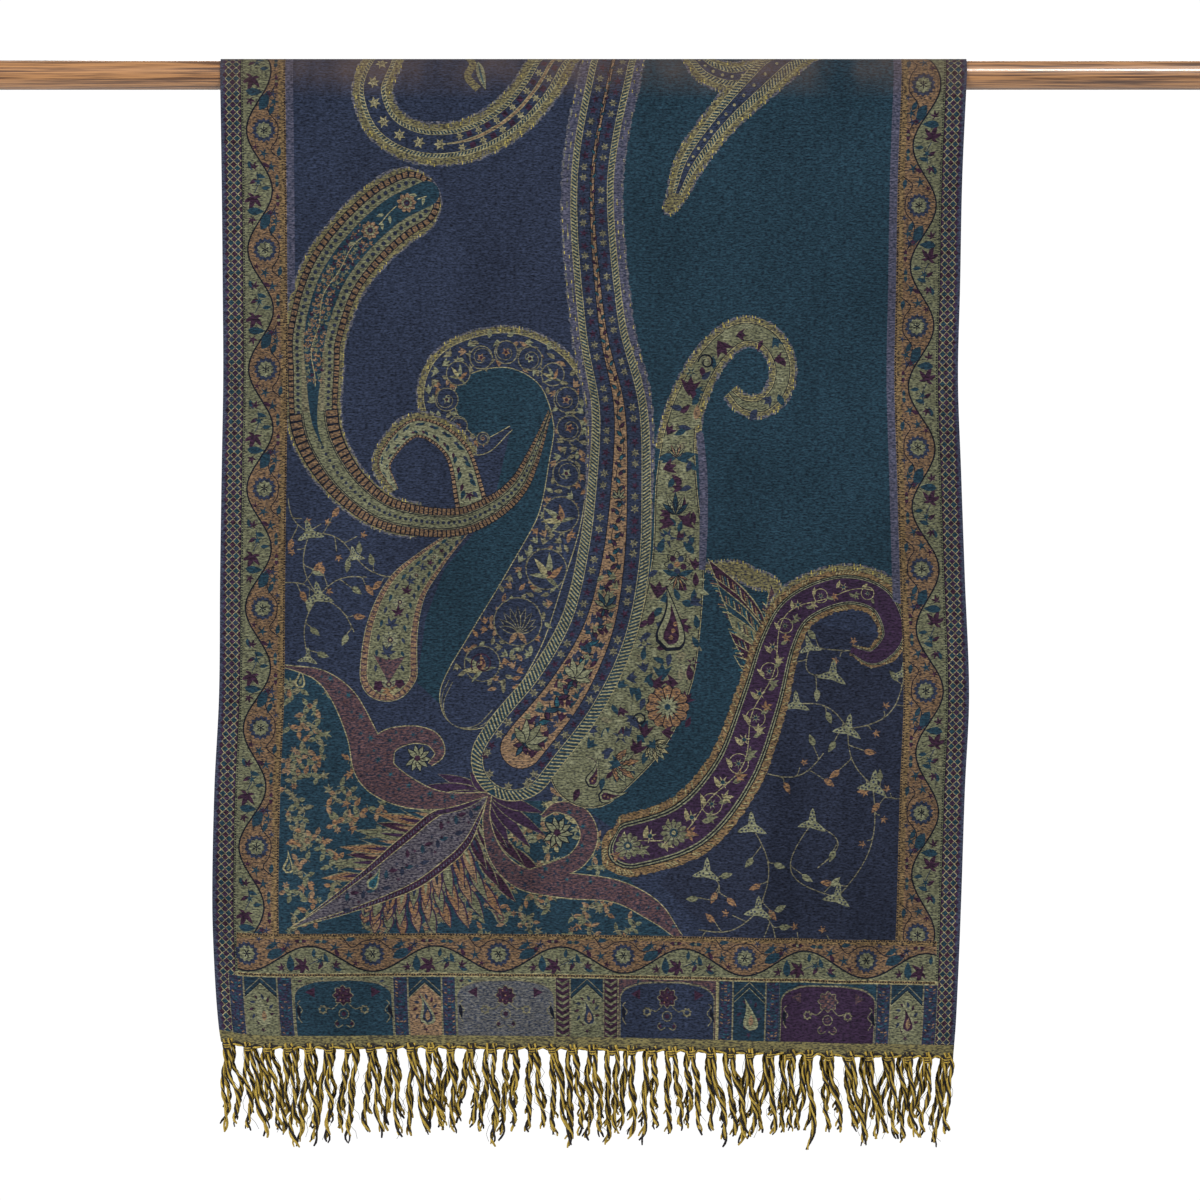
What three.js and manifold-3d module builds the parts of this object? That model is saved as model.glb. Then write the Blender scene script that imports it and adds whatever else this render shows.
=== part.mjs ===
// A jamawar shawl folded in half over a wooden rod, as it is shown for sale.
// Millimetres, +Z up. The origin is on the rod's axis, midway along it.
// +X runs along the rod to the right. The front drop hangs on the -Y side, the back drop on +Y.

import * as THREE from 'three';
import { mergeVertices } from 'three/addons/utils/BufferGeometryUtils.js';
import Module from 'manifold-3d';

const wasm = await Module();
wasm.setup();

const inch = 25.4;

// The rod
const rodDiameter = 28;
const rodLength = 48 * inch;
const rodSides = 32;

// The cloth, measured flat where it is a length of cloth, and down from the rod's axis where it is a drop
const clothWidth = 28 * inch;
const clothThickness = 1.2;
const frontDrop = 914.5;
const backShorter = 3;
const backNarrower = 2;
const seamGap = 0.3;
const edgeRamp = 200;

// The woven heading at each end, and the fringe that is knotted below it
const headingDepth = 10.5;
const tasselCount = 37;
const tasselInset = 6;
const legsPerTassel = 2;
const legLength = 84;
const legLengthSpread = 11;
const legRadius = 2.1;
const legTipRadius = 1.5;
const legRootAbove = 4;
const legRootApart = 2.4;
const legLayer = 2.6;
const legSteps = 4;
const legSides = 3;

// The grid that the walls are worked out on
const columns = 32;
const dropRows = 20;
const rodRows = 8;

const middleRadius = rodDiameter / 2 + seamGap + clothThickness / 2;
const quarterTurn = (middleRadius * Math.PI) / 2;

// How far the two side edges stand out from the middle, by the drop below the rod's axis
const sideEdges = [
  { drop: 0, left: 354.5, right: 355.5 },
  { drop: 100, left: 353, right: 351 },
  { drop: 200, left: 352, right: 349 },
  { drop: 290, left: 351.5, right: 347 },
  { drop: 380, left: 353, right: 350 },
  { drop: 480, left: 354.5, right: 353.5 },
  { drop: 590, left: 355.5, right: 357.5 },
  { drop: 680, left: 360, right: 353.5 },
  { drop: 785, left: 362, right: 350 },
  { drop: 850, left: 360, right: 347.5 },
  { drop: 905, left: 356, right: 345 },
  { drop: 935, left: 351, right: 342.5 },
];

// How much lower than the plain drop the hem hangs, by the place across the cloth
const hemSag = [
  { across: -356, sag: -5.5 },
  { across: -330, sag: -1 },
  { across: -290, sag: 0 },
  { across: -130, sag: 0 },
  { across: 0, sag: 1.5 },
  { across: 100, sag: 3.5 },
  { across: 200, sag: 6 },
  { across: 356, sag: 9.5 },
];

// The soft folds: across is the fold's place where it starts, lean how far it moves across for
// each mm down, width its half width, and forward how far it stands out (a trough is negative)
const frontFolds = [
  { across: 190, from: 520, to: 1010, lean: 0.02, width: 17, forward: -5.5 },
  { across: 222, from: 480, to: 1300, lean: 0.03, width: 30, forward: 5 },
  { across: 140, from: 420, to: 1250, lean: 0.02, width: 34, forward: 4 },
  { across: -8, from: 260, to: 520, lean: 0, width: 20, forward: -4 },
  { across: 22, from: 280, to: 900, lean: 0.03, width: 28, forward: 4 },
  { across: -48, from: 640, to: 1120, lean: 0, width: 20, forward: -4 },
  { across: 334, from: 760, to: 900, lean: -0.74, width: 16, forward: -4 },
  { across: -250, from: 420, to: 1400, lean: -0.02, width: 55, forward: 5 },
  { across: -150, from: 360, to: 1300, lean: -0.02, width: 38, forward: -4 },
  { across: -343, from: 560, to: 1200, lean: 0, width: 24, forward: -4.5 },
  { across: 349, from: 820, to: 1050, lean: 0, width: 18, forward: -6 },
];
const backFolds = [
  { across: -205, from: 500, to: 1010, lean: -0.02, width: 18, forward: -5 },
  { across: -236, from: 480, to: 1300, lean: -0.03, width: 32, forward: 5 },
  { across: -110, from: 380, to: 1250, lean: 0.02, width: 36, forward: 4 },
  { across: 12, from: 250, to: 640, lean: 0.02, width: 22, forward: -4 },
  { across: 70, from: 560, to: 1180, lean: 0, width: 24, forward: 4 },
  { across: 150, from: 380, to: 1300, lean: 0.03, width: 40, forward: -4 },
  { across: 262, from: 420, to: 1400, lean: 0.02, width: 52, forward: 5 },
  { across: 340, from: 600, to: 1200, lean: 0, width: 26, forward: -4.5 },
  { across: -346, from: 640, to: 1200, lean: 0, width: 22, forward: -5 },
];

// A smooth curve through one column of a table, read at a place along its key column
function readTable(rows, key, column, at) {
  const last = rows.length - 1;
  const place = THREE.MathUtils.clamp(at, rows[0][key], rows[last][key]);
  let i = 0;
  while (i < last - 1 && rows[i + 1][key] < place) {
    i += 1;
  }
  const slope = (low, high) => {
    const a = rows[Math.max(low, 0)];
    const b = rows[Math.min(high, last)];
    return (b[column] - a[column]) / (b[key] - a[key]);
  };
  const step = rows[i + 1][key] - rows[i][key];
  const t = (place - rows[i][key]) / step;
  const startSlope = slope(i - 1, i + 1);
  const endSlope = slope(i, i + 2);
  const rise = t * t * (3 - 2 * t);
  return (
    rows[i][column] * (1 - rise) +
    rows[i + 1][column] * rise +
    step * (startSlope * t * (1 - t) * (1 - t) - endSlope * t * t * (1 - t))
  );
}

// How far a drop stands out at a place: each fold is a bell across it and one smooth hump down it
function foldDepth(folds, across, drop) {
  let depth = 0;
  for (const fold of folds) {
    const along = (drop - fold.from) / (fold.to - fold.from);
    if (along > 0 && along < 1) {
      const off = (across - fold.across - fold.lean * (drop - fold.from)) / fold.width;
      depth += fold.forward * Math.exp(-off * off) * Math.sin(Math.PI * along) ** 2;
    }
  }
  return depth;
}

// A point on the middle of the cloth. across runs from -1 to 1, left to right, and along is the
// length of cloth from the line on top of the rod, positive down the front and negative down the back.
function clothPoint(across, along) {
  const front = along >= 0;
  const outward = front ? -1 : 1;
  const length = Math.abs(along);
  if (length <= quarterTurn) {
    const turn = length / middleRadius;
    const half = across < 0 ? sideEdges[0].left : sideEdges[0].right;
    const z = middleRadius * Math.cos(turn);
    return new THREE.Vector3(across * half, outward * middleRadius * Math.sin(turn), z);
  }
  const flatDrop = length - quarterTurn;
  const share = flatDrop / frontDrop;
  const flatX = (across * clothWidth) / 2;
  const sag = readTable(hemSag, 'across', 'sag', flatX) - (front ? 0 : backShorter);
  const drop = flatDrop + sag * share * share;
  const edge = readTable(sideEdges, 'drop', across < 0 ? 'left' : 'right', drop);
  const narrower = front ? 0 : backNarrower * Math.min(drop / edgeRamp, 1);
  const x = across * (edge - narrower);
  const depth = foldDepth(front ? frontFolds : backFolds, x, drop);
  return new THREE.Vector3(x, outward * (middleRadius + depth), -drop);
}

// The cloth's outward direction, from two short steps on its middle
function clothNormal(across, along) {
  const nudge = 0.4;
  const acrossStep = (2 * nudge) / clothWidth;
  const sideways = clothPoint(across + acrossStep, along).sub(clothPoint(across - acrossStep, along));
  const downwards = clothPoint(across, along + nudge).sub(clothPoint(across, along - nudge));
  return downwards.cross(sideways).normalize();
}

// A closed wall over a grid of cloth places: the outer face, the inner face and the four rims
function clothWall(lengths, columnCount) {
  const rows = lengths.length;
  const perRow = columnCount + 1;
  const positions = [];
  for (const side of [0.5, -0.5]) {
    for (const along of lengths) {
      for (let c = 0; c <= columnCount; c += 1) {
        const across = (2 * c) / columnCount - 1;
        const point = clothPoint(across, along);
        point.addScaledVector(clothNormal(across, along), side * clothThickness);
        positions.push(point.x, point.y, point.z);
      }
    }
  }
  const inner = rows * perRow;
  const indices = [];
  const quad = (a, b, c, d) => indices.push(a, b, c, a, c, d);
  for (let r = 0; r < rows - 1; r += 1) {
    for (let c = 0; c < columnCount; c += 1) {
      const a = r * perRow + c;
      quad(a, a + perRow, a + perRow + 1, a + 1);
      quad(inner + a, inner + a + 1, inner + a + perRow + 1, inner + a + perRow);
    }
    const left = r * perRow;
    const right = left + columnCount;
    quad(left, inner + left, inner + left + perRow, left + perRow);
    quad(right, right + perRow, inner + right + perRow, inner + right);
  }
  const lastRow = (rows - 1) * perRow;
  for (let c = 0; c < columnCount; c += 1) {
    quad(c, c + 1, inner + c + 1, inner + c);
    quad(lastRow + c, inner + lastRow + c, inner + lastRow + c + 1, lastRow + c + 1);
  }
  const geometry = new THREE.BufferGeometry();
  geometry.setAttribute('position', new THREE.Float32BufferAttribute(positions, 3));
  geometry.setIndex(indices);
  return geometry;
}

function evenSteps(from, to, count) {
  return Array.from({ length: count + 1 }, (_, i) => from + ((to - from) * i) / count);
}

// Lengths of cloth from the back's end, up, over the rod and down to the front's end
function clothLengths() {
  const end = quarterTurn + frontDrop;
  const back = evenSteps(-end, -quarterTurn, dropRows);
  const top = evenSteps(-quarterTurn, quarterTurn, rodRows);
  const front = evenSteps(quarterTurn, end, dropRows);
  return [...back, ...top.slice(1), ...front.slice(1)];
}

// A repeatable scatter from 0 to 1 for a whole number
function scatter(number) {
  const wave = Math.sin(number * 12.9898) * 43758.5453;
  return wave - Math.floor(wave);
}

// One leg of a tassel: a three-sided tapering prism that leaves the heading and leans as it falls
function tasselLeg(tassel, leg, front) {
  const seed = tassel * legsPerTassel + leg;
  const sideSign = leg === 0 ? -1 : 1;
  const halfSpan = clothWidth / 2 - tasselInset;
  const centre = -halfSpan + (2 * halfSpan * tassel) / (tasselCount - 1);
  const end = (front ? 1 : -1) * (quarterTurn + frontDrop + seamGap + headingDepth);
  const root = clothPoint(centre / (clothWidth / 2), end);
  const shorter = front ? 0 : backShorter * 4;
  const length = legLength - shorter + legLengthSpread * (2 * scatter(seed + 3) - 1);
  const sharedLean = 7 * Math.sin(0.83 * tassel + 0.6) + 3 * Math.sin(2.1 * tassel);
  const ownLean = sideSign * (2.5 + 3 * scatter(seed + 11));
  const sway = 2.5 * (2 * scatter(seed + 23) - 1);
  const outward = front ? -1 : 1;
  const layer = sideSign * legLayer * outward + outward * legLayer;
  const positions = [];
  for (let step = 0; step <= legSteps; step += 1) {
    const t = step / legSteps;
    const open = Math.min(2.2 * t, 1);
    const x = root.x + sideSign * legRootApart + (sharedLean + ownLean) * t ** 1.2;
    const swayX = x + sway * Math.sin(2 * Math.PI * t);
    const y = root.y + layer * open;
    const z = root.z + legRootAbove - (length + legRootAbove) * t;
    const radius = step === legSteps ? legTipRadius : legRadius;
    for (let corner = 0; corner < legSides; corner += 1) {
      const turn = (2 * Math.PI * corner) / legSides + 0.5 * seed;
      positions.push(swayX + radius * Math.cos(turn), y + radius * Math.sin(turn), z);
    }
  }
  const indices = [0, 1, 2];
  for (let step = 0; step < legSteps; step += 1) {
    for (let corner = 0; corner < legSides; corner += 1) {
      const a = step * legSides + corner;
      const b = step * legSides + ((corner + 1) % legSides);
      indices.push(a, a + legSides, b, b, a + legSides, b + legSides);
    }
  }
  const tip = legSteps * legSides;
  indices.push(tip, tip + 2, tip + 1);
  const geometry = new THREE.BufferGeometry();
  geometry.setAttribute('position', new THREE.Float32BufferAttribute(positions, 3));
  geometry.setIndex(indices);
  return geometry;
}

function toSolid(geometry) {
  const merged = mergeVertices(geometry, 1e-5);
  const mesh = new wasm.Mesh({
    numProp: 3,
    vertProperties: new Float32Array(merged.attributes.position.array),
    triVerts: new Uint32Array(merged.index.array),
  });
  return new wasm.Manifold(mesh);
}

function toGeometry(solid) {
  const mesh = solid.getMesh();
  const geometry = new THREE.BufferGeometry();
  geometry.setAttribute('position', new THREE.BufferAttribute(mesh.vertProperties, 3));
  geometry.setIndex(new THREE.BufferAttribute(mesh.triVerts, 1));
  return geometry;
}

// The heading strip at one end with its tassels: the legs are joined to it at their roots
function fringeGeometry(front) {
  const sign = front ? 1 : -1;
  const start = quarterTurn + frontDrop + seamGap;
  const ends = [sign * start, sign * (start + headingDepth)].sort((a, b) => a - b);
  let solid = toSolid(clothWall(ends, columns));
  for (let tassel = 0; tassel < tasselCount; tassel += 1) {
    for (let leg = 0; leg < legsPerTassel; leg += 1) {
      solid = solid.add(toSolid(tasselLeg(tassel, leg, front)));
    }
  }
  return toGeometry(solid);
}

function rodGeometry() {
  const radius = rodDiameter / 2;
  const geometry = new THREE.CylinderGeometry(radius, radius, rodLength, rodSides);
  geometry.rotateZ(Math.PI / 2);
  return geometry;
}

function namedMesh(name, geometry, color, roughness) {
  const material = new THREE.MeshStandardMaterial({ color, roughness, metalness: 0 });
  const mesh = new THREE.Mesh(geometry, material);
  mesh.name = name;
  return mesh;
}

const shawl = new THREE.Group();
shawl.add(
  namedMesh('rod', rodGeometry(), 0xa57850, 0.25),
  namedMesh('shawl_cloth', clothWall(clothLengths(), columns), 0x323f4a, 0.85),
  namedMesh('fringe_front', fringeGeometry(true), 0x8c7a38, 0.75),
  namedMesh('fringe_back', fringeGeometry(false), 0x8c7a38, 0.75),
);

export default shawl;
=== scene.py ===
"""A jamawar shawl folded in half over a varnished wooden rod, in metres, in the frame of its solids.

The origin is on the rod's axis, midway along it. The front drop hangs on the -Y side. The cloth is
drawn flat first: u runs across it from its left edge, v down it from the fold on top of the rod, and
each woven figure is an outline in that plane, in millimetres. The figures, the bands of the border and
an even grid are triangulated together, so that every colour ends at a real edge of the mesh, and the
flat sheet is then laid over the rod by the formula that gives the solid its drape.
"""

import math

import bpy
import numpy as np
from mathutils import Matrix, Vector
from mathutils.geometry import delaunay_2d_cdt


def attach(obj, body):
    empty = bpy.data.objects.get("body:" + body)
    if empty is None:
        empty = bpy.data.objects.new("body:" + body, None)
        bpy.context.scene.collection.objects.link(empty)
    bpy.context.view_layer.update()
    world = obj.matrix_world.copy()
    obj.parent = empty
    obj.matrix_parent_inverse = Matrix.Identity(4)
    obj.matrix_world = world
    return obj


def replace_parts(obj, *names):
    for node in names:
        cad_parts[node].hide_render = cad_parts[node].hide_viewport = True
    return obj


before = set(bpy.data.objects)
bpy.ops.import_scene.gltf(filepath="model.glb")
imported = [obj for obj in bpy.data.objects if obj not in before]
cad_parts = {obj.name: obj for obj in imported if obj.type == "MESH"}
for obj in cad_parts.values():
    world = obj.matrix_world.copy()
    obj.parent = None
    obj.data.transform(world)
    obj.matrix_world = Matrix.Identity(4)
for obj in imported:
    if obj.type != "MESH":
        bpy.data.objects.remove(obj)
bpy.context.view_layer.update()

mm = 0.001
inch = 25.4 * mm

# The rod
rod_diameter = 28 * mm
rod_length = 48 * inch

# The cloth
cloth_width = 28 * inch
cloth_thickness = 1.2 * mm
shell_thickness = 0.9 * mm
front_drop = 914.5 * mm
back_shorter = 3 * mm
back_narrower = 2 * mm
edge_ramp = 200 * mm
seam_gap = 0.3 * mm

# The heading at each end and the fringe that is knotted below it
heading_depth = 10.5 * mm
tassel_count = 37
tassel_inset = 6 * mm
leg_length = 84 * mm
leg_length_spread = 11 * mm
leg_root_above = 4 * mm
leg_root_apart = 2.4 * mm
leg_layer = 2.6 * mm

middle_radius = rod_diameter / 2 + seam_gap + cloth_thickness / 2
quarter_turn = middle_radius * math.pi / 2
half_length = quarter_turn + front_drop

# The flat sheet in millimetres, as the figures are drawn on it
sheet_width = cloth_width / mm
sheet_length = half_length / mm
# The figures count down the cloth from a line that lies so far below the fold
figures_begin = quarter_turn / mm - 21.4

# How far the side edges stand out from the middle, by the drop below the rod's axis, in mm
SIDE_EDGES = [
    # drop, left, right
    (0, 354.5, 355.5),
    (100, 353, 351),
    (200, 352, 349),
    (290, 351.5, 347),
    (380, 353, 350),
    (480, 354.5, 353.5),
    (590, 355.5, 357.5),
    (680, 360, 353.5),
    (785, 362, 350),
    (850, 360, 347.5),
    (905, 356, 345),
    (935, 351, 342.5),
]

# How much lower than the plain drop the hem hangs, by the place across the cloth, in mm
HEM_SAG = [
    # across, sag
    (-356, -5.5),
    (-330, -1),
    (-290, 0),
    (-130, 0),
    (0, 1.5),
    (100, 3.5),
    (200, 6),
    (356, 9.5),
]

# The soft folds, in mm: where each starts across the cloth, the drops it runs between, how far it
# moves across for each mm down, its half width and how far it stands out
FRONT_FOLDS = [
    # across, from, to, lean, width, forward
    (190, 520, 1010, 0.02, 17, -5.5),
    (222, 480, 1300, 0.03, 30, 5),
    (140, 420, 1250, 0.02, 34, 4),
    (-8, 260, 520, 0, 20, -4),
    (22, 280, 900, 0.03, 28, 4),
    (-48, 640, 1120, 0, 20, -4),
    (334, 760, 900, -0.74, 16, -4),
    (-250, 420, 1400, -0.02, 55, 5),
    (-150, 360, 1300, -0.02, 38, -4),
    (-343, 560, 1200, 0, 24, -4.5),
    (349, 820, 1050, 0, 18, -6),
]
BACK_FOLDS = [
    (-205, 500, 1010, -0.02, 18, -5),
    (-236, 480, 1300, -0.03, 32, 5),
    (-110, 380, 1250, 0.02, 36, 4),
    (12, 250, 640, 0.02, 22, -4),
    (70, 560, 1180, 0, 24, 4),
    (150, 380, 1300, 0.03, 40, -4),
    (262, 420, 1400, 0.02, 52, 5),
    (340, 600, 1200, 0, 26, -4.5),
    (-346, 640, 1200, 0, 22, -5),
]

# Finer creases that only the finished cloth has, in the same columns
FRONT_CREASES = [
    (198, 560, 980, 0.02, 13, -4.4),
    (232, 560, 1000, 0.03, 18, 4.0),
    (160, 560, 1000, 0.0, 14, 3.5),
    (-6, 320, 500, 0.02, 9, -2.6),
    (-50, 690, 870, -0.02, 9, -3.0),
    (318, 800, 905, -0.72, 9, 1.6),
    (300, 842, 960, -0.5, 9, -1.4),
    (-300, 700, 960, 0.03, 11, 2.0),
    (-210, 760, 1000, 0.0, 9, -2.2),
    (90, 780, 1020, 0.04, 9, 2.0),
    (40, 700, 900, 0.25, 9, -1.6),
    (300, 560, 700, -0.35, 9, 1.6),
    (60, 180, 420, -0.05, 14, -1.0),
    (-190, 60, 300, 0.03, 12, 0.9),
    (-120, 120, 420, 0.02, 15, -0.9),
    (255, 90, 430, 0.0, 16, -1.0),
]
BACK_CREASES = [
    (-212, 600, 900, -0.02, 8, -1.5),
    (16, 300, 560, 0.02, 8, -1.3),
    (66, 700, 900, 0.02, 9, 1.3),
    (-310, 690, 960, 0.03, 12, 1.2),
    (180, 760, 1000, 0.02, 9, -1.2),
    (-80, 100, 420, 0.02, 14, -1.0),
    (230, 80, 400, -0.02, 15, 0.9),
]


def read_table(rows, column, at):
    """A smooth curve through one column of a table: cubic pieces whose slope at each row is that of
    the line between its neighbours."""
    table = np.array(rows, dtype=float)
    keys = table[:, 0]
    values = table[:, column]
    last = len(keys) - 1
    low = np.maximum(np.arange(last + 1) - 1, 0)
    high = np.minimum(np.arange(last + 1) + 1, last)
    slopes = (values[high] - values[low]) / (keys[high] - keys[low])
    place = np.clip(at, keys[0], keys[-1])
    i = np.clip(np.searchsorted(keys, place, side="left") - 1, 0, last - 1)
    step = keys[i + 1] - keys[i]
    t = (place - keys[i]) / step
    rise = t * t * (3 - 2 * t)
    bend = slopes[i] * t * (1 - t) ** 2 - slopes[i + 1] * t * t * (1 - t)
    return values[i] * (1 - rise) + values[i + 1] * rise + step * bend


def fold_depth(folds, across, drop):
    """How far the folds stand out, in mm: a bell across each one and a smooth hump down it."""
    depth = np.zeros_like(across)
    for centre, start, end, lean, width, forward in folds:
        along = np.clip((drop - start) / (end - start), 0, 1)
        off = (across - centre - lean * (drop - start)) / width
        depth += forward * np.exp(-off * off) * np.sin(math.pi * along) ** 2
    return depth


def ripple(across, drop):
    """The cloth's own unevenness, in mm: a few slow waves that grow away from the rod."""
    slow = np.sin(across / 61 + 1.3) * np.sin(drop / 97 + across / 260)
    quick = np.sin(across / 23 + drop / 140) * np.sin(drop / 53 + 0.7)
    return (0.55 * slow + 0.22 * quick) * np.clip((drop + 5) / 160, 0, 1)


def drape(across, along, front):
    """Places on the middle of the cloth, in metres. across is -1 to 1 from left to right and along the
    length of cloth from the line on top of the rod, in metres, both as arrays. It turns a quarter
    round the rod, then hangs straight down, moved out by its folds."""
    outward = -1 if front else 1
    turn = np.minimum(along, quarter_turn) / middle_radius
    hanging = np.maximum(along - quarter_turn, 0) / mm
    share = hanging / (front_drop / mm)
    flat_x = across * sheet_width / 2
    sag = read_table(HEM_SAG, 1, flat_x) - (0 if front else back_shorter / mm)
    drop = hanging + sag * share * share
    left = read_table(SIDE_EDGES, 1, drop)
    right = read_table(SIDE_EDGES, 2, drop)
    narrower = 0 if front else back_narrower / mm * np.minimum(drop / (edge_ramp / mm), 1)
    x = across * (np.where(across < 0, left, right) - narrower)
    folds = (FRONT_FOLDS + FRONT_CREASES) if front else (BACK_FOLDS + BACK_CREASES)
    depth = fold_depth(folds, x, drop) + ripple(x, drop)
    depth = np.where(hanging > 0, depth, 0) * mm
    y = outward * (middle_radius * np.sin(turn) + depth)
    z = middle_radius * np.cos(turn) - drop * mm
    return np.stack([x * mm, y, z], axis=-1)


def drape_with_normal(across, along, front):
    """The same places with the cloth's outward direction, from short steps across and along."""
    nudge = 0.4 * mm
    wide = 2 * nudge / cloth_width
    sideways = drape(across + wide, along, front) - drape(across - wide, along, front)
    downwards = drape(across, along + nudge, front) - drape(across, np.maximum(along - nudge, 0), front)
    normal = np.cross(downwards, sideways)
    if not front:
        normal = -normal
    normal /= np.linalg.norm(normal, axis=-1, keepdims=True)
    return drape(across, along, front), normal


# The weave's colours, as they show in plain light: red, green and blue of 255, the second thread that
# is mixed in and how much of it shows
YARNS = {
    # name: (r, g, b), (r, g, b) of the second thread, its share
    "navy": ((47, 55, 75), (23, 27, 37), 0.35),
    # deep_navy is a darker yarn of the figures, and also painted shade on the lower right of the field
    "deep_navy": ((42, 48, 65), (21, 23, 32), 0.35),
    "teal": ((37, 61, 74), (22, 33, 44), 0.40),
    "dark_teal": ((33, 53, 66), (21, 30, 41), 0.40),
    "bright_teal": ((38, 83, 95), (26, 37, 49), 0.45),
    "purple": ((57, 41, 64), (31, 25, 36), 0.35),
    "plum": ((60, 38, 56), (22, 20, 28), 0.40),
    "lilac": ((87, 86, 103), (38, 44, 60), 0.50),
    "olive": ((113, 114, 88), (43, 45, 46), 0.40),
    "pale_olive": ((128, 129, 102), (58, 60, 54), 0.38),
    "rim": ((124, 117, 79), (38, 40, 52), 0.50),
    "grey_rim": ((102, 101, 107), (34, 40, 58), 0.50),
    "gold": ((149, 142, 106), (64, 62, 54), 0.38),
    "bright_gold": ((180, 164, 84), (74, 70, 52), 0.35),
    "tan": ((140, 114, 86), (50, 45, 50), 0.42),
    "orange": ((139, 107, 75), (42, 40, 50), 0.45),
    "ochre": ((129, 107, 74), (28, 28, 33), 0.45),
    "border_tan": ((124, 99, 73), (32, 33, 42), 0.42),
    "maroon": ((94, 69, 69), (27, 35, 50), 0.50),
    "ink": ((25, 28, 39), (16, 18, 24), 0.30),
    "grey_weave": ((101, 100, 97), (40, 47, 63), 0.55),
    "leaf_grey": ((96, 92, 97), (32, 30, 46), 0.52),
    "edge": ((65, 70, 89), (33, 36, 49), 0.40),
    "dull_gold": ((123, 118, 92), (44, 46, 48), 0.45),
}
YARN_NAMES = list(YARNS)


def linear(colour):
    """Screen values of 255 as linear light."""
    value = np.asarray(colour, dtype=float) / 255
    return np.where(value <= 0.04045, value / 12.92, ((value + 0.055) / 1.055) ** 2.4)


def scatter(number):
    """A repeatable scatter from 0 to 1: the fraction of a large sine."""
    wave = np.sin(np.asarray(number) * 12.9898) * 43758.5453
    return wave - np.floor(wave)


def paired(*columns):
    """Rows of places, from one array for each direction."""
    return np.stack(columns, axis=1)


def even_curve(points, step=2.5):
    """A smooth curve through points (Catmull-Rom pieces), walked in even steps. Returns its places and
    the distance along it of each given point."""
    p = np.asarray(points, dtype=float)
    before = np.vstack([2 * p[:1] - p[1:2], p[:-1]])[:-1]
    after = np.vstack([p[2:], 2 * p[-1:] - p[-2:-1]])
    t = np.linspace(0, 1, 24, endpoint=False)[None, :, None]
    a, b, c, d = (x[:, None, :] for x in (before, p[:-1], p[1:], after))
    fine = 0.5 * (2 * b + (c - a) * t + (2 * a - 5 * b + 4 * c - d) * t**2 + (3 * b - a - 3 * c + d) * t**3)
    fine = np.vstack([fine.reshape(-1, 2), p[-1:]])
    reach = np.concatenate([[0], np.cumsum(np.linalg.norm(np.diff(fine, axis=0), axis=1))])
    knots = reach[::24]
    count = max(int(round(reach[-1] / step)), 2)
    even = np.linspace(0, reach[-1], count + 1)
    path = np.stack([np.interp(even, reach, fine[:, k]) for k in range(2)], axis=1)
    return path, knots


def headings(path):
    """Unit directions along a path, and the directions to its left."""
    along = np.gradient(path, axis=0)
    along /= np.maximum(np.linalg.norm(along, axis=1, keepdims=True), 1e-9)
    return along, paired(along[:, 1], -along[:, 0])


# The figures of half the cloth, each over the ones before it: outlines in millimetres and their yarns
figures = []


def fill(outline, yarn):
    figures.append((np.asarray(outline, dtype=float), yarn))


def block(left, right, top, foot, yarn):
    fill([(left, top), (right, top), (right, foot), (left, foot)], yarn)


def draw_thread(path, width, yarn):
    """A thread of even width along a path."""
    path = np.asarray(path, dtype=float)
    side = headings(path)[1] * width / 2
    fill(np.vstack([path + side, (path - side)[::-1]]), yarn)


def stem(points, width, yarn, step=2.5):
    draw_thread(even_curve(points, step)[0], width, yarn)


def draw_ring(centre, radius, width, yarn, sides=18):
    turn = np.linspace(0, 2 * math.pi, sides + 1)
    round_path = paired(np.cos(turn), np.sin(turn))
    outer = np.asarray(centre) + round_path * (radius + width / 2)
    inner = np.asarray(centre) + round_path * (radius - width / 2)
    fill(np.vstack([outer, inner[::-1]]), yarn)


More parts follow.
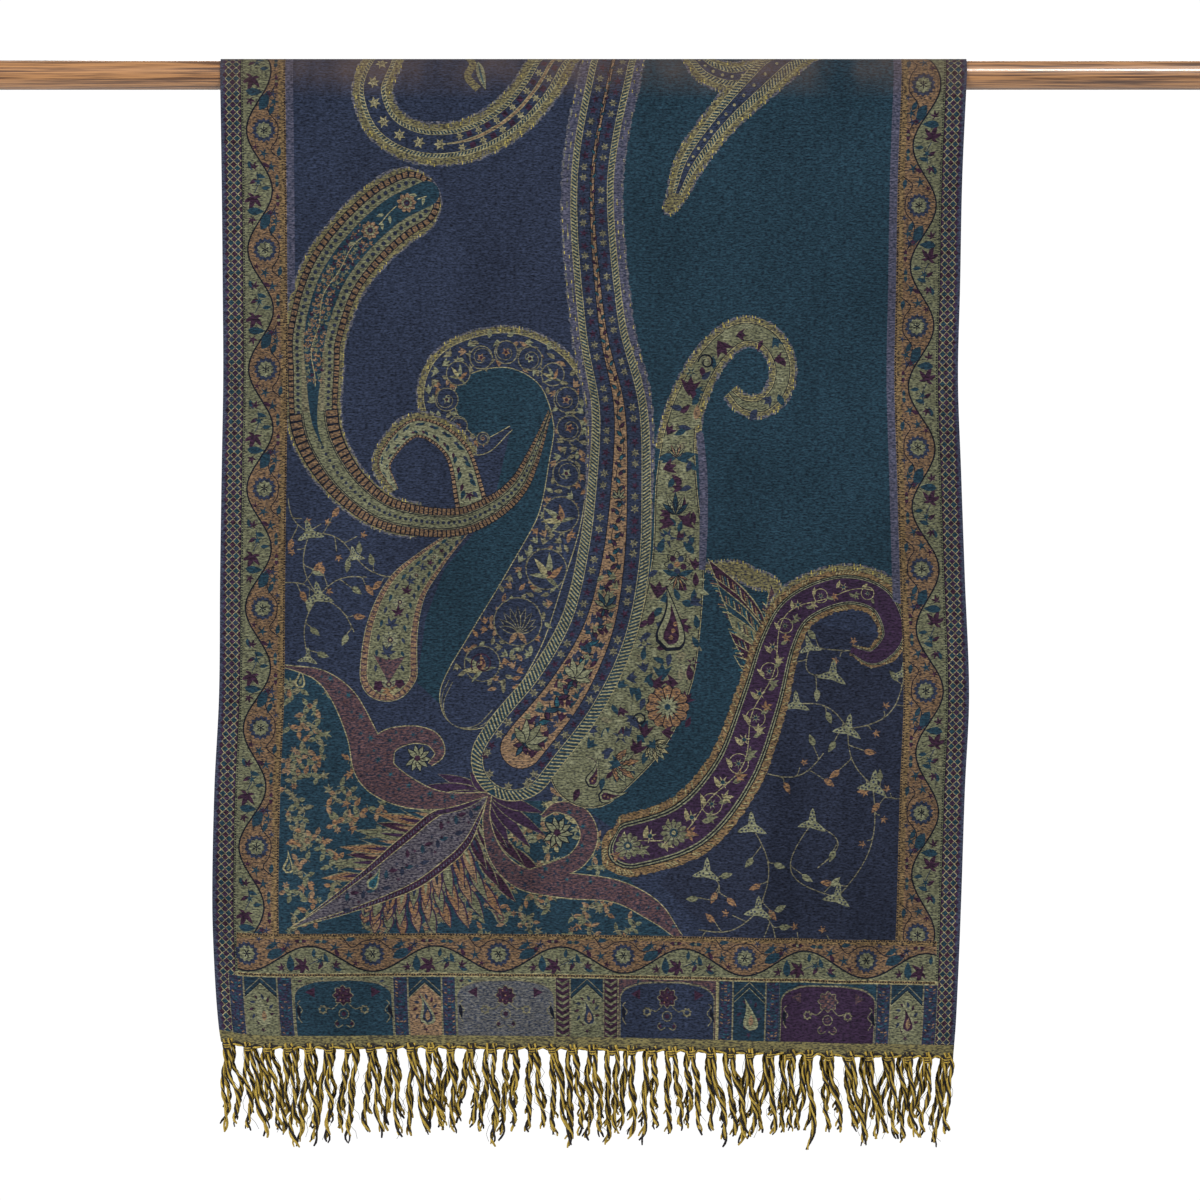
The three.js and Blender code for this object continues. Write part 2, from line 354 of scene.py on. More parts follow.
class Band:
    """A tapering band along a smooth spine. Places on it are a distance along the spine and a share of
    the half width to its left (positive) or right. A round end is closed by a half circle."""

    def __init__(self, spine, halves, round_start=False, round_end=False):
        self.path, knots = even_curve(spine, 1.5)
        self.length = knots[-1]
        self.s = np.linspace(0, self.length, len(self.path))
        half = np.interp(self.s, knots, halves)
        pad = np.concatenate([np.full(9, half[0]), half, np.full(9, half[-1])])
        self.half = np.convolve(pad, np.ones(19) / 19, mode="valid")
        self.left = headings(self.path)[1]
        self.ends = (halves[0] if round_start else 0, halves[-1] if round_end else 0)

    def at(self, s, off):
        """The place s mm along the spine and off mm to its left; past the ends it goes straight on."""
        s, off = np.broadcast_arrays(np.asarray(s, dtype=float), np.asarray(off, dtype=float))
        inside = np.clip(s, 0, self.length)
        place = np.stack([np.interp(inside, self.s, self.path[:, k]) for k in range(2)], axis=-1)
        left = np.stack([np.interp(inside, self.s, self.left[:, k]) for k in range(2)], axis=-1)
        forward = np.stack([-left[..., 1], left[..., 0]], axis=-1)
        return place + left * off[..., None] + forward * (s - inside)[..., None]

    def lay(self, s, off, size=1.0, turn=0.0):
        """Lays a figure on the band, bent with it: x of the figure runs along, y to the left."""
        c, k = math.cos(turn) * size, math.sin(turn) * size

        def place(xy):
            return self.at(s + c * xy[:, 0] - k * xy[:, 1], off + k * xy[:, 0] + c * xy[:, 1])

        return place

    def half_at(self, s):
        return np.interp(s, self.s, self.half)

    def reach(self, s, share, inset=0.0):
        """How far the outline of a share of the band, less an even inset, stands off the spine, in mm."""
        half = self.half_at(s)
        start, end = self.ends
        past = np.zeros_like(s)
        if start:
            past = np.maximum(past, (start - s) / start)
        if end:
            past = np.maximum(past, (s - self.length + end) / end)
        kept = np.maximum(share - inset / np.maximum(half, 0.1), 0)
        return half * np.sqrt(np.maximum(kept**2 - past**2, 0))

    def round_walk(self, share, inset=0.0, step=3.0):
        """Distances along the spine for an outline, close together round the round ends."""
        start, end = self.ends
        begin = max(start * share - inset, 0) if start else 0
        close = max(end * share - inset, 0) if end else 0
        cap = np.sin(np.linspace(0, math.pi / 2, 8))
        low = start - begin * cap[::-1] if start else np.array([0.0])
        high = self.length - end + close * cap if end else np.array([self.length])
        body = np.arange(low[-1] + step, high[0] - step / 2, step)
        return np.concatenate([low, body, high])

    def outline(self, left=1.0, right=None, inset=0.0, ragged=0.0, step=3.0):
        """The closed outline at a share of the half width on each side, less an even inset, and
        ragged by up to so many mm."""
        right = left if right is None else right
        s = self.round_walk(max(left, right), inset, step)
        ruff = (scatter(np.arange(2 * len(s)) + 7 * self.length) - 0.5) * 2 * ragged
        left_off = self.reach(s, left, inset) + ruff[: len(s)] * (left > 0)
        right_off = self.reach(s, right, inset) + ruff[len(s):] * (right > 0)
        return np.vstack([self.at(s, left_off), self.at(s, -right_off)[::-1]])

    def fill(self, yarn, *shape, **edge):
        fill(self.outline(*shape, **edge), yarn)

    def round_marks(self, share, pitch, least, low=0.0, high=1.0):
        """Places round the band at a share of its half width, spaced by a share of it: the place, the
        turn of the outline there and the half width, from low to high of the band's length."""
        marks = []
        for side in (1, -1):
            s = self.round_walk(share, 0.0, 1.5)
            path = self.at(s, side * self.reach(s, share))
            half = np.maximum(self.half_at(s), 1.0)
            gaps = np.linalg.norm(np.diff(path, axis=0), axis=1) / np.maximum(half[1:] * pitch, least)
            count = np.concatenate([[0], np.cumsum(gaps)])
            turn = np.unwrap(np.arctan2(*np.gradient(path, axis=0).T))
            for k in np.arange(0.5, count[-1]):
                at_s = np.interp(k, count, s)
                if low * self.length <= at_s <= high * self.length:
                    place = [np.interp(k, count, path[:, 0]), np.interp(k, count, path[:, 1])]
                    marks.append((place, np.interp(k, count, turn), np.interp(k, count, half), side))
        return marks

    def part(self, low, high, more=0.0, round_end=False):
        """The band between two shares of its length, wider by so many mm on each side."""
        s = np.linspace(low, high, 2 + int((high - low) * self.length / 14)) * self.length
        return Band(self.at(s, 0.0), self.half_at(s) + more, round_end=round_end)

    def steps(self, pitch, least=0.0, low=0.0, high=None):
        """Distances along the band, spaced by a share of its half width, but no closer than least."""
        high = self.length if high is None else high
        gap = np.maximum(self.half * pitch, least)
        count = np.concatenate([[0], np.cumsum(np.diff(self.s) / gap[1:])])
        places = np.interp(np.arange(1, int(count[-1]) + 1) - 0.5, count, self.s)
        return places[(places > low) & (places < high)]


def on_cloth(u, v, size=1.0, turn=0.0, mirror=1):
    """Lays a figure flat on the cloth: its x axis is turned by turn from straight down."""
    c, k = math.cos(turn) * size, math.sin(turn) * size

    def lay(xy):
        x, y = xy[:, 0], xy[:, 1] * mirror
        return paired(u + k * x + c * y, v + c * x - k * y)

    return lay


def petal_outline(radius, petals, depth, points=None):
    """A round of petals: the radius swells and dips by depth once for each petal."""
    points = points or (3 if radius > 9 else 2 if radius > 3.5 else 1)
    turn = np.linspace(0, 2 * math.pi, petals * 2 * points, endpoint=False)
    swell = radius * (1 - depth + depth * np.cos(petals * turn))
    return paired(swell * np.cos(turn), swell * np.sin(turn))


def bloom(lay, yarn, *shape):
    fill(lay(petal_outline(*shape)), yarn)


def leaf_outline(length, width, bend=0.0):
    """A pointed leaf from the origin along x: a sine across it, widest before the middle, bent."""
    points = 3 if length < 7 else 4 if length < 14 else 6
    t = np.linspace(0, 1, points + 1)
    half = width / 2 * np.sin(math.pi * t**0.8)
    mid = bend * length * t * t
    upper = paired(length * t, mid + half)
    lower = paired(length * t, mid - half)
    return np.vstack([upper, lower[-2:0:-1]])


def drop_outline(length):
    """A boteh: a full round end at the origin that narrows to a tip along x, curled to one side."""
    t = np.linspace(0, 1, 11)
    half = length * 0.27 * np.sin(math.pi * t**0.55) * (1 - 0.35 * t)
    mid = 0.35 * length * t**3
    x = length * (t - 0.12 * np.sin(math.pi * t) * t)
    upper = paired(x, mid + half)
    lower = paired(x, mid - half)
    return np.vstack([upper, lower[-2:0:-1]])


def flower(lay, radius, petals, yarn, heart, eye=None, rays=None):
    """A round flower: petals, a paler ring in them, rays between them, a heart and an eye."""
    bloom(lay, yarn, radius, petals, 0.12)
    if radius > 8:
        bloom(lay, "pale_olive", radius * 0.62, petals, 0.12, 1)
    if rays:
        for k in range(petals):
            turn = (2 * k + 1) * math.pi / petals
            ray = np.array([[0.3, -0.02], [1.0, -0.04], [1.0, 0.04], [0.3, 0.02]]) * radius
            c, s = math.cos(turn), math.sin(turn)
            fill(lay(ray @ np.array([[c, s], [-s, c]])), rays)
    bloom(lay, heart, radius * 0.36, petals, 0.12, 1)
    if eye:
        bloom(lay, eye, radius * 0.16, 4, 0.0, 1)


def star(lay, radius, points, yarn, heart=None):
    """A small spiky flower: a star of sharp petals with a dot in it."""
    bloom(lay, yarn, radius, points, 0.36, 1)
    if heart:
        bloom(lay, heart, radius * 0.3, 4, 0.0, 1)


def leaf(lay, length, width, yarn, bend=0.0, start=0.0):
    fill(lay(leaf_outline(length, width, bend) + [start, 0]), yarn)


def lily(lay, size, yarn):
    """A flower seen from the side: three pointed petals that spring from one foot, and two sepals."""
    for turn, length, width in ((0.0, 1.0, 0.34), (0.72, 0.86, 0.3), (-0.72, 0.86, 0.3),
                                (1.7, 0.5, 0.2), (-1.7, 0.5, 0.2)):
        c, s = math.cos(turn), math.sin(turn)
        petal = leaf_outline(size * length, size * width, 0.12 if turn > 0 else -0.12)
        fill(lay(petal @ np.array([[c, s], [-s, c]])), yarn)


def turned(lay, turn, x=0.0, y=0.0):
    """The placing of a part within a figure: turned, then moved."""
    c, k = math.cos(turn), math.sin(turn)

    def place(xy):
        return lay(paired(x + c * xy[:, 0] - k * xy[:, 1], y + k * xy[:, 0] + c * xy[:, 1]))

    return place


def fan(lay, size, count, spread, edge, bodies, width=0.3, bend=0.0):
    """A fan of leaves from one foot, the middle ones longest, each with an edge of another yarn."""
    for number, lean in enumerate(np.linspace(-spread, spread, count)):
        long = size * (1 - 0.25 * (lean / max(spread, 0.1)) ** 2)
        petal = turned(lay, lean)
        leaf(petal, long, size * width, edge, bend)
        inner = leaf_outline(long - 1.6, max(size * width - 1.8, 0.8), bend) + [0.8, 0]
        fill(petal(inner), bodies[number % len(bodies)])


def tulip(lay, size, yarn):
    """A cut-out blossom from the side: a body with two horned tips and a middle one."""
    outline = [(-0.5, 0), (-0.1, 0.34), (0.45, 0.62), (0.22, 0.2),
               (0.62, 0), (0.22, -0.2), (0.45, -0.62), (-0.1, -0.34)]
    fill(lay(np.array(outline) * size), yarn)


def bell(lay, size, yarn, speck):
    """The climbing plant's flower: a hollow-sided triangle with three flared tips, netted inside."""
    turn = np.radians([52, 60, 70, 118, 168, 178, 188, 228, 276, 285, 294, 350])
    reach = np.array([0.95, 1.2, 0.9, 0.34, 0.9, 1.15, 0.9, 0.34, 0.9, 1.15, 0.9, 0.36]) * size
    triangle = paired(reach * np.cos(turn), reach * np.sin(turn))
    fill(lay(triangle), yarn)
    for corner in np.radians([60, 178, 285]):
        for reach, lean, wide in ((0.78, 0, 0.16), (0.52, 0.22, 0.15), (0.52, -0.22, 0.15), (0.26, 0, 0.17)):
            spot = np.array([math.cos(corner + lean), math.sin(corner + lean)]) * size * reach
            fill(lay(DOT * size * wide + spot), speck)


def boteh(lay, length, yarn, inner, heart=None):
    """A small paisley: the outer drop, a smaller one inside it and a leaf in its round end."""
    fill(lay(drop_outline(length)), yarn)
    fill(lay(drop_outline(length * 0.72) * [1, 0.9] + [length * 0.08, 0]), inner)
    if heart:
        leaf(lay, length * 0.36, length * 0.16, heart, 0.1, length * 0.14)


def pick(yarns, chance):
    return yarns[int(chance * len(yarns))]


DASH = np.array([[-0.5, -0.5], [0.5, -0.5], [0.5, 0.5], [-0.5, 0.5]])
DOT = petal_outline(0.5, 6, 0.0, 1)[::2]


def twisted_edge(band, outer, inner, ground, thread):
    """A border of slanted stitches between two fine lines, between two shares."""
    band.fill(thread, outer)
    band.fill(ground, outer, inset=0.8)
    for place, turn, half, side in band.round_marks((outer + inner) / 2, 0.1, least=3.3):
        long = half * (outer - inner) * 1.05
        lay = on_cloth(*place, turn=turn + math.pi / 2 + 0.6 * side)
        fill(lay(DASH * [long, 1.35]), thread)
    band.fill(thread, inner)


def ladder_edge(band, outer, inner, ground, rung, pitch=0.26, least=3.6):
    """A border of even square rungs with dark gaps, between two shares."""
    band.fill(ground, outer)
    middle = (outer + inner) / 2
    for place, turn, half, _ in band.round_marks(middle, pitch, least=least):
        size = [max(half * pitch, least) * 0.7, half * (outer - inner) * 0.8]
        fill(on_cloth(*place, turn=turn)(DASH * size), rung)


def dotted_edge(band, outer, inner, ground, dot, line, pitch=0.27, least=3.8):
    """A border of even dots on a lighter ground between two fine lines."""
    band.fill(line, outer)
    band.fill(ground, outer, inset=0.8)
    middle = (outer + inner) / 2
    for place, turn, half, _ in band.round_marks(middle, pitch, least=least):
        size = min(half * (outer - inner) * 0.62, max(half * pitch, least) * 0.62)
        fill(on_cloth(*place, turn=turn, size=size)(DOT), dot)
    band.fill(line, inner)


def hazy_rim(band, left=1.0, right=1.0, specks=0.5, yarn="rim"):
    """The shaggy edge of a figure where its floats end: grey outside, olive inside, with bright
    threads that stand out of it."""
    band.fill("grey_rim", left, right, ragged=1.0, step=2.0)
    band.fill(yarn, left, right, inset=1.6, ragged=1.0, step=2.4)
    number = 0
    for share in (0.95, 0.8):
        for place, _, _, side in band.round_marks(share, 0.0, least=3.0):
            number += 1
            if (left if side > 0 else right) > 0 and scatter(number * 1.3 + band.length) < specks:
                lean = 0.3 * (scatter(number + 0.7) - 0.5)
                speck = ("bright_gold", "gold", "grey_rim", "olive")[int(4 * scatter(number * 2.9))]
                fill(on_cloth(*place, turn=lean)(DASH * [3.0, 0.9]), speck)


def meadow(band, share, size, yarns, low=0.0, high=1.0, seed=1):
    """Flowers, leaf sprays and buds strewn evenly over a share of a band, in rows that step sideways,
    all growing towards its start."""
    rows = np.arange(low * band.length + size * 0.5, high * band.length, size * 0.9)
    for row, s in enumerate(rows):
        reach = share * band.half_at(s) - size * 0.3
        count = max(int(round(2 * reach / size)), 1)
        for k in range(count):
            chance = scatter(seed * 31.7 + row * 13.1 + k * 7.3 + np.arange(4) * 0.37)
            off = reach * (2 * (k + 0.5) / count - 1) + size * 0.35 * (row % 2 - 0.5)
            off += size * 0.2 * (chance[3] - 0.5)
            turn = math.pi + 1.5 * (chance[0] - 0.5)
            yarn = pick(yarns, chance[1])
            other = pick(yarns, chance[3])
            kind = int(chance[2] * 7)
            foot = s + size * 0.3
            if kind == 0:
                lay = band.lay(s, off)
                bloom(lay, yarn, size * 0.46, 5, 0.14, 2)
                fill(lay(DOT * size * 0.34), other if other != yarn else yarns[0])
            elif kind < 3:
                for lean, long in ((0, 0.85), (0.75, 0.7), (-0.75, 0.7)):
                    leaf(band.lay(foot, off, turn=turn + lean), size * long, size * 0.36, yarn)
            else:
                curl = 0.25 * (1 if k % 2 else -1)
                stalk = np.array([[-0.45, 0], [0, curl * 0.3], [0.5, curl]]) * size
                draw_thread(band.lay(foot, off, turn=turn)(stalk), 0.8, yarn)
                for lean, long in ((curl, 0.8), (0.9, 0.62), (-0.9, 0.62)):
                    leaf(band.lay(foot, off, turn=turn + lean), size * long, size * 0.3, yarn, curl)


def strewn(band, share, pitch, yarns, low=0.0, high=1.0):
    """Leaves and cut-out blossoms over a share of a band, on an uneven grid and turned all ways."""
    for row, s in enumerate(np.arange(low * band.length, high * band.length, pitch)):
        reach = share * band.half_at(s)
        count = max(int(round(2 * reach / pitch)), 1)
        for k in range(count):
            chance = scatter(row * 5.7 + k * 3.1 + band.length + np.arange(4) * 0.29)
            step = (k + 0.5 + 0.4 * (row % 2) - 0.2) / count
            off = reach * (2 * step - 1) + pitch * 0.3 * (chance[1] - 0.5)
            lay = band.lay(s + pitch * 0.4 * (chance[0] - 0.5), off, turn=6.3 * chance[2])
            yarn = pick(yarns, chance[3])
            if chance[1] < 0.45:
                tulip(lay, pitch * 0.85, yarn)
            else:
                leaf(lay, pitch * 1.05, pitch * 0.5, yarn, 0.25)


def great_boteh():
    """The long middle band that swells to a round foot: a hazy lilac rim, a twisted edge, snowflake
    flowers and plum buds by turns on navy, and a tan strip of leaves and blossoms up its middle."""
    spine = [(382, -30), (375, 7), (355, 123), (364, 256), (381, 337), (381, 411), (375, 484), (360, 550),
             (330, 608), (291, 658), (258, 706)]
    haze = Band(spine[:8], [30, 30, 30, 31, 33, 33, 33, 33])
    band = Band(spine, [21, 21, 20.5, 22.5, 27, 30.5, 35, 37, 39.5, 41, 39], round_end=True)
    middle = Band(spine[:-1] + [(277, 679)], [2, 2, 2.2, 3.6, 5.5, 8, 11, 14.5, 18.5, 20.5, 19],
                  round_end=True)
    hazy_rim(haze.part(0, 0.9), specks=0.4, yarn="lilac")
    twisted_edge(band, 1.0, 0.73, "teal", "gold")
    band.fill("navy", 0.73, inset=0.8)
    for k, s in enumerate(band.steps(0.31, least=10.5, high=band.length - 22)):
        channel = (middle.half_at(min(s, middle.length)) + 0.73 * band.half_at(s)) / 2
        for side in (1, -1):
            chance = scatter(k * 2 + side + np.array([0.1, 0.5]))
            lay = band.lay(s + 2 * chance[0], side * channel, turn=k + side)
            if (k + side) % 4 < 2:
                open_flower(lay, 3.7 + 0.05 * channel, "dull_gold", "deep_navy")
            else:
                bloom(lay, "plum", 3.9 + chance[1], 5, 0.3, 1)
    for turn in np.linspace(-1.3, 1.3, 4):
        foot = band.lay(band.length - 38 + 24 * math.cos(turn), 25 * math.sin(turn), turn=turn)
        open_flower(foot, 4.6, "dull_gold", "deep_navy")
    middle.fill("ink")
    middle.fill("tan", inset=0.8)
    vine = np.linspace(40, middle.length - 20, 110)
    draw_thread([middle.at(s, 0.45 * middle.half_at(s) * math.sin(s / 9)) for s in vine], 0.7, "ink")
    for k, s in enumerate(np.arange(44, middle.length - 18, 7.5)):
        half = middle.half_at(s)
        side = 1 if k % 2 else -1
        lay = middle.lay(s + 4, side * half * 0.15, turn=math.pi + 0.7 * side)
        size = 4.5 + 0.32 * half
        leaf(lay, size * 1.25, size * 0.62, "ink")
        leaf(lay, size * 1.1, size * 0.4, ("teal", "plum", "bright_teal")[k % 3])
        if half > 7:
            tulip(middle.lay(s, -side * half * 0.55, turn=math.pi - 0.5 * side), half * 0.5,
                  ("plum", "teal", "navy")[k % 3])
    strewn(middle, 0.8, 9, ("plum", "teal", "navy", "olive"), 0.72, 0.97)
    for share, bodies in ((0.62, ("pale_olive",)), (0.76, ("olive", "teal")), (0.86, ("pale_olive",)),
                          (0.965, ("olive", "pale_olive"))):
        half = middle.half_at(share * middle.length)
        fan(middle.lay(share * middle.length, 0, turn=math.pi), half * 1.25, 5, 1.25, "ink", bodies, 0.34)
        fan(middle.lay(share * middle.length + 2, 0), half * 0.7, 3, 0.9, "ink", ("plum", "teal"), 0.4)


def open_flower(lay, radius, yarn, ground):
    """A small flower drawn in outline: six looped petals with a gap between each two, and a dot."""
    bloom(lay, yarn, radius, 6, 0.26, 1)
    bloom(lay, ground, radius * 0.48, 6, 0.3, 1)
    fill(lay(DOT * radius * 0.46), yarn)


def top_loop():
    """The ring at the top left and its arm over the fold: hazy rims, a twisted edge, small flowers."""
    band = Band([(157, -24), (155, 7), (145, 37), (158, 70), (191, 87), (234, 85), (272, 66), (300, 37),
                 (318, 5), (330, -24)], [20, 20, 20, 20.5, 21, 21, 21.5, 22.5, 23.5, 24])
    hazy_rim(band)
    twisted_edge(band, 0.64, 0.45, "teal", "gold")
    band.fill("navy", 0.45, inset=0.8)
    arm = band.length * 0.5
    for k, s in enumerate(band.steps(0.48, least=10)):
        if s < arm:
            if k % 2:
                open_flower(band.lay(s, 0), 6.2, "gold", "navy")
        else:
            for side in (1, -1):
                if k % 2:
                    open_flower(band.lay(s, 5.4 * side), 4.1, "gold", "navy")
                else:
                    fill(band.lay(s, 5.6 * side)(DASH * [5.2, 5.0]), "plum")
    middle = Band([band.at(s, 0.0) for s in np.linspace(arm - 4, band.length, 12)], [0.6, 1.2] + [1.7] * 10)
    middle.fill("gold")
    middle.fill("tan", inset=0.7)
    stem([(236, 0), (241, 12), (236, 24), (246, 36)], 7, "rim")
    leaf(on_cloth(246, 8, turn=0.15), 30, 8, "pale_olive", 0.1)
    leaf(on_cloth(246, 8, turn=0.15), 24, 2, "bright_teal", 0.1, 2.4)


def sweeping_boteh():
    """The long hooked band down the left: rungs outside, dots inside and a teal heart with a spray of
    flowers in its round head, tapering round the foot of the field to a fine tip."""
    band = Band([(208, 130), (158, 156), (110, 208), (89, 265), (87, 303), (88, 351), (101, 385), (126, 417),
                 (163, 441), (220, 448), (256, 436), (283, 414), (299, 383), (314, 343)],
                [29, 31, 30, 28, 26, 24, 21, 18, 15.5, 14, 12.5, 10, 7, 1.5], round_start=True)
    haze = Band(band.at(np.linspace(0, band.length * 0.7, 30), 0.0),
                band.half_at(np.linspace(0, band.length * 0.7, 30)) + np.linspace(5.0, 2.5, 30),
                round_start=True)
    hazy_rim(haze)
    ladder_edge(band, 0.95, 0.74, "ink", "border_tan", pitch=0.21)
    dotted_edge(band, 0.73, 0.44, "olive", "deep_navy", "dull_gold", pitch=0.24)
    tail = band.part(0.44, 1.0)
    ladder_edge(tail, 1.0, 0.45, "ink", "border_tan", pitch=0.3)
    tail.fill("dull_gold", 0.47)
    tail.fill("ink", 0.47, inset=0.8)
    tail.fill("olive", 0.47, inset=1.6)
    for s in tail.steps(0.34, least=5.2):
        fill(tail.lay(s, 0, size=min(0.34 * tail.half_at(s), 3.4))(DOT), "deep_navy")
    long = 0.5 * band.length
    heart = Band(band.at(np.linspace(0, long, 14), 0.0), 0.43 * band.half_at(np.linspace(0, long, 14)) *
                 np.array([1.0] * 8 + [0.95, 0.85, 0.7, 0.5, 0.3, 0.05]), round_start=True)
    heart.fill("teal", inset=0.7)
    meadow(band, 0.4, 5.2, ("olive", "tan", "plum", "orange"), 0.13, 0.39, 7)
    stem([band.at(s, 2 * math.sin(s / 9)) for s in np.linspace(14, band.length * 0.4, 24)], 0.9, "gold")
    for s, radius in ((34, 9.5), (78, 9.0)):
        bloom(band.lay(s, 0), "teal", radius + 1.6, 10, 0.05)
        flower(band.lay(s, 0), radius, 9, "tan", "plum", "navy", "ink")
    for s, side in ((16, 1), (22, -1), (54, 1), (58, -1), (64, 1), (96, -1)):
        leaf(band.lay(s, 2 * side, turn=0.7 * side), 8, 3.4, "pale_olive", 0.2)


# What stands on the olive band: kind, across, down, size, turn and yarn
OLIVE_PLANTS = [
    ("tulip", 481, 281, 12, 0.6, "plum"), ("spiral", 466, 295, 8, 0, "pale_olive"),
    ("star", 451, 305, 5, 0, "teal"), ("tulip", 450, 319, 13, 3.0, "plum"),
    ("leaf", 452, 336, 11, 2.4, "teal"), ("leaf", 440, 343, 10, 2.0, "plum"),
    ("leaf", 455, 350, 12, 2.8, "tan"), ("leaf", 438, 356, 11, 1.2, "navy"),
    ("leaf", 446, 360, 10, -1.4, "teal"), ("tulip", 430, 360, 8, 2.6, "plum"),
    ("fan", 436, 386, 15, 3.14, "tan"), ("leaf", 433, 384, 12, -1.5, "teal"),
    ("leaf", 440, 384, 12, 1.5, "teal"), ("tulip", 429, 395, 10, 1.9, "plum"),
    ("leaf", 446, 399, 9, 2.6, "navy"), ("leaf", 428, 414, 10, 2.4, "teal"),
    ("leaf", 441, 412, 11, -2.6, "plum"), ("thistle", 435, 440, 23, 3.14, "teal"),
    ("tulip", 427, 447, 11, -1.8, "plum"), ("tulip", 446, 446, 11, 1.8, "plum"),
    ("star", 427, 462, 9, 0.3, "navy"), ("star", 445, 463, 7.5, 0.9, "navy"),
    ("leaf", 437, 456, 9, 2.6, "teal"), ("leaf", 418, 476, 12, 2.6, "teal"),
    ("leaf", 452, 477, 12, -2.6, "teal"), ("rosette", 436, 487, 13, 0, "navy"),
    ("fan", 437, 497, 16, 0, "orange"), ("tulip", 418, 512, 12, 3.0, "plum"),
    ("leaf", 453, 508, 11, 2.9, "plum"), ("leaf", 440, 522, 12, 1.2, "teal"),
    ("leaf", 422, 528, 11, -1.0, "teal"), ("tulip", 453, 522, 9, 2.0, "navy"),
    ("boteh", 426, 566, 52, 2.8, "plum"), ("leaf", 408, 545, 12, 2.6, "plum"),
    ("star", 404, 562, 7, 0.2, "navy"), ("leaf", 454, 548, 11, 3.0, "teal"),
    ("leaf", 455, 566, 10, -2.9, "teal"), ("star", 450, 580, 6, 0.4, "plum"),
    ("leaf", 402, 578, 10, 2.8, "teal"), ("tulip", 421, 590, 12, 3.14, "teal"),
    ("tulip", 417, 600, 10, 1.7, "plum"), ("tulip", 430, 599, 10, -1.7, "plum"),
    ("leaf", 411, 604, 9, 3.3, "teal"), ("leaf", 447, 597, 12, 3.0, "plum"),
    ("tulip", 444, 614, 9, 2.4, "plum"), ("ray", 426, 622, 21, 0, "orange"),
    ("leaf", 397, 617, 11, 2.8, "teal"), ("leaf", 391, 630, 13, 0.4, "navy"),
    ("spiral", 400, 634, 6.5, 0, "gold"), ("tulip", 405, 645, 10, 3.0, "plum"),
    ("tulip", 426, 646, 9, 1.5, "plum"), ("leaf", 443, 641, 9, 2.5, "plum"),
    ("star", 382, 650, 7.5, 0.6, "navy"), ("leaf", 440, 652, 9, 2.1, "teal"),
    ("leaf", 432, 659, 9, 2.9, "teal"), ("tulip", 398, 661, 11, 2.7, "plum"),
    ("leaf", 408, 664, 11, -0.6, "teal"), ("bloom", 412, 658, 19, 0.7, "gold"),
    ("bloom", 377, 676, 24, 1.3, "orange"), ("leaf", 366, 672, 9, 2.4, "navy"),
    ("boteh", 352, 697, 25, 2.5, "plum"), ("boteh", 362, 706, 25, 1.35, "plum"),
    ("leaf", 343, 700, 11, -0.6, "plum"), ("leaf", 368, 690, 8, 2.2, "plum"),
]


def olive_plant(kind, lay, size, yarn):
    """One plant of the olive band."""
    if kind == "leaf":
        leaf(lay, size * 1.25, size * 0.6, yarn, 0.2)
    elif kind == "tulip":
        tulip(lay, size * 1.3, yarn)
    elif kind == "star":
        star(lay, size * 1.2, 5, yarn, "olive")
    elif kind == "fan":
        fan(lay, size, 7, 1.1, "ink", (yarn, "pale_olive"), 0.22)
        leaf(turned(lay, 1.7), size, size * 0.35, "teal", 0.2)
        leaf(turned(lay, -1.7), size, size * 0.35, "teal", -0.2)
    elif kind == "thistle":
        for reach in (1.0, 0.66, 0.36):
            fan(lay, size * reach, 5, 0.85, "ink", (yarn, "pale_olive"), 0.24)
    elif kind == "rosette":
        bloom(lay, "ink", size, 8, 0.16)
        bloom(lay, "olive", size - 1.2, 8, 0.18)
        for turn in range(5):
            fill(turned(lay, turn * 1.257)(DOT * size * 0.5 + [size * 0.5, 0]), (yarn, "plum")[turn % 2])
        fill(lay(DOT * size * 0.5), "orange")
    elif kind == "spiral":
        t = np.linspace(0, 1, 22)[:, None]
        turn = 1.5 + 9.5 * t
        draw_thread(lay(size * t**0.8 * np.hstack([np.cos(turn), np.sin(turn)])), 1.6, "ink")
        fill(lay(DOT * size * 0.7), yarn)
    elif kind == "ray":
        wedge = np.array([(0.2, -0.02), (0.82, -0.2), (0.97, -0.1),
                          (0.97, 0.1), (0.82, 0.2), (0.2, 0.02)]) * size
        bloom(lay, "ink", size, 12, 0.04)
        for turn in np.arange(12) * math.pi / 6:
            fill(turned(lay, turn)(wedge), yarn)
            leaf(turned(lay, turn), size * 0.6, size * 0.16, "pale_olive")
        bloom(lay, "teal", size * 0.16, 6, 0.1, 1)
    elif kind == "bloom":
        for reach in (1.0, 0.7, 0.42):
            fan(lay, size * reach, 7, 1.2, "ink", (yarn, "pale_olive"), 0.36)
        tulip(turned(lay, math.pi), size * 0.5, "teal")
    else:
        fill(lay(drop_outline(size * 1.16) - [size * 0.07, 0]), "ink")
        fill(lay(drop_outline(size)), "pale_olive")
        fill(lay(drop_outline(size * 0.74) * [1, 0.8] + [size * 0.06, 0]), yarn)
        for k in range(3):
            fill(lay(DOT * size * 0.09 + [size * (0.2 + 0.13 * k), 0.0]), "orange")


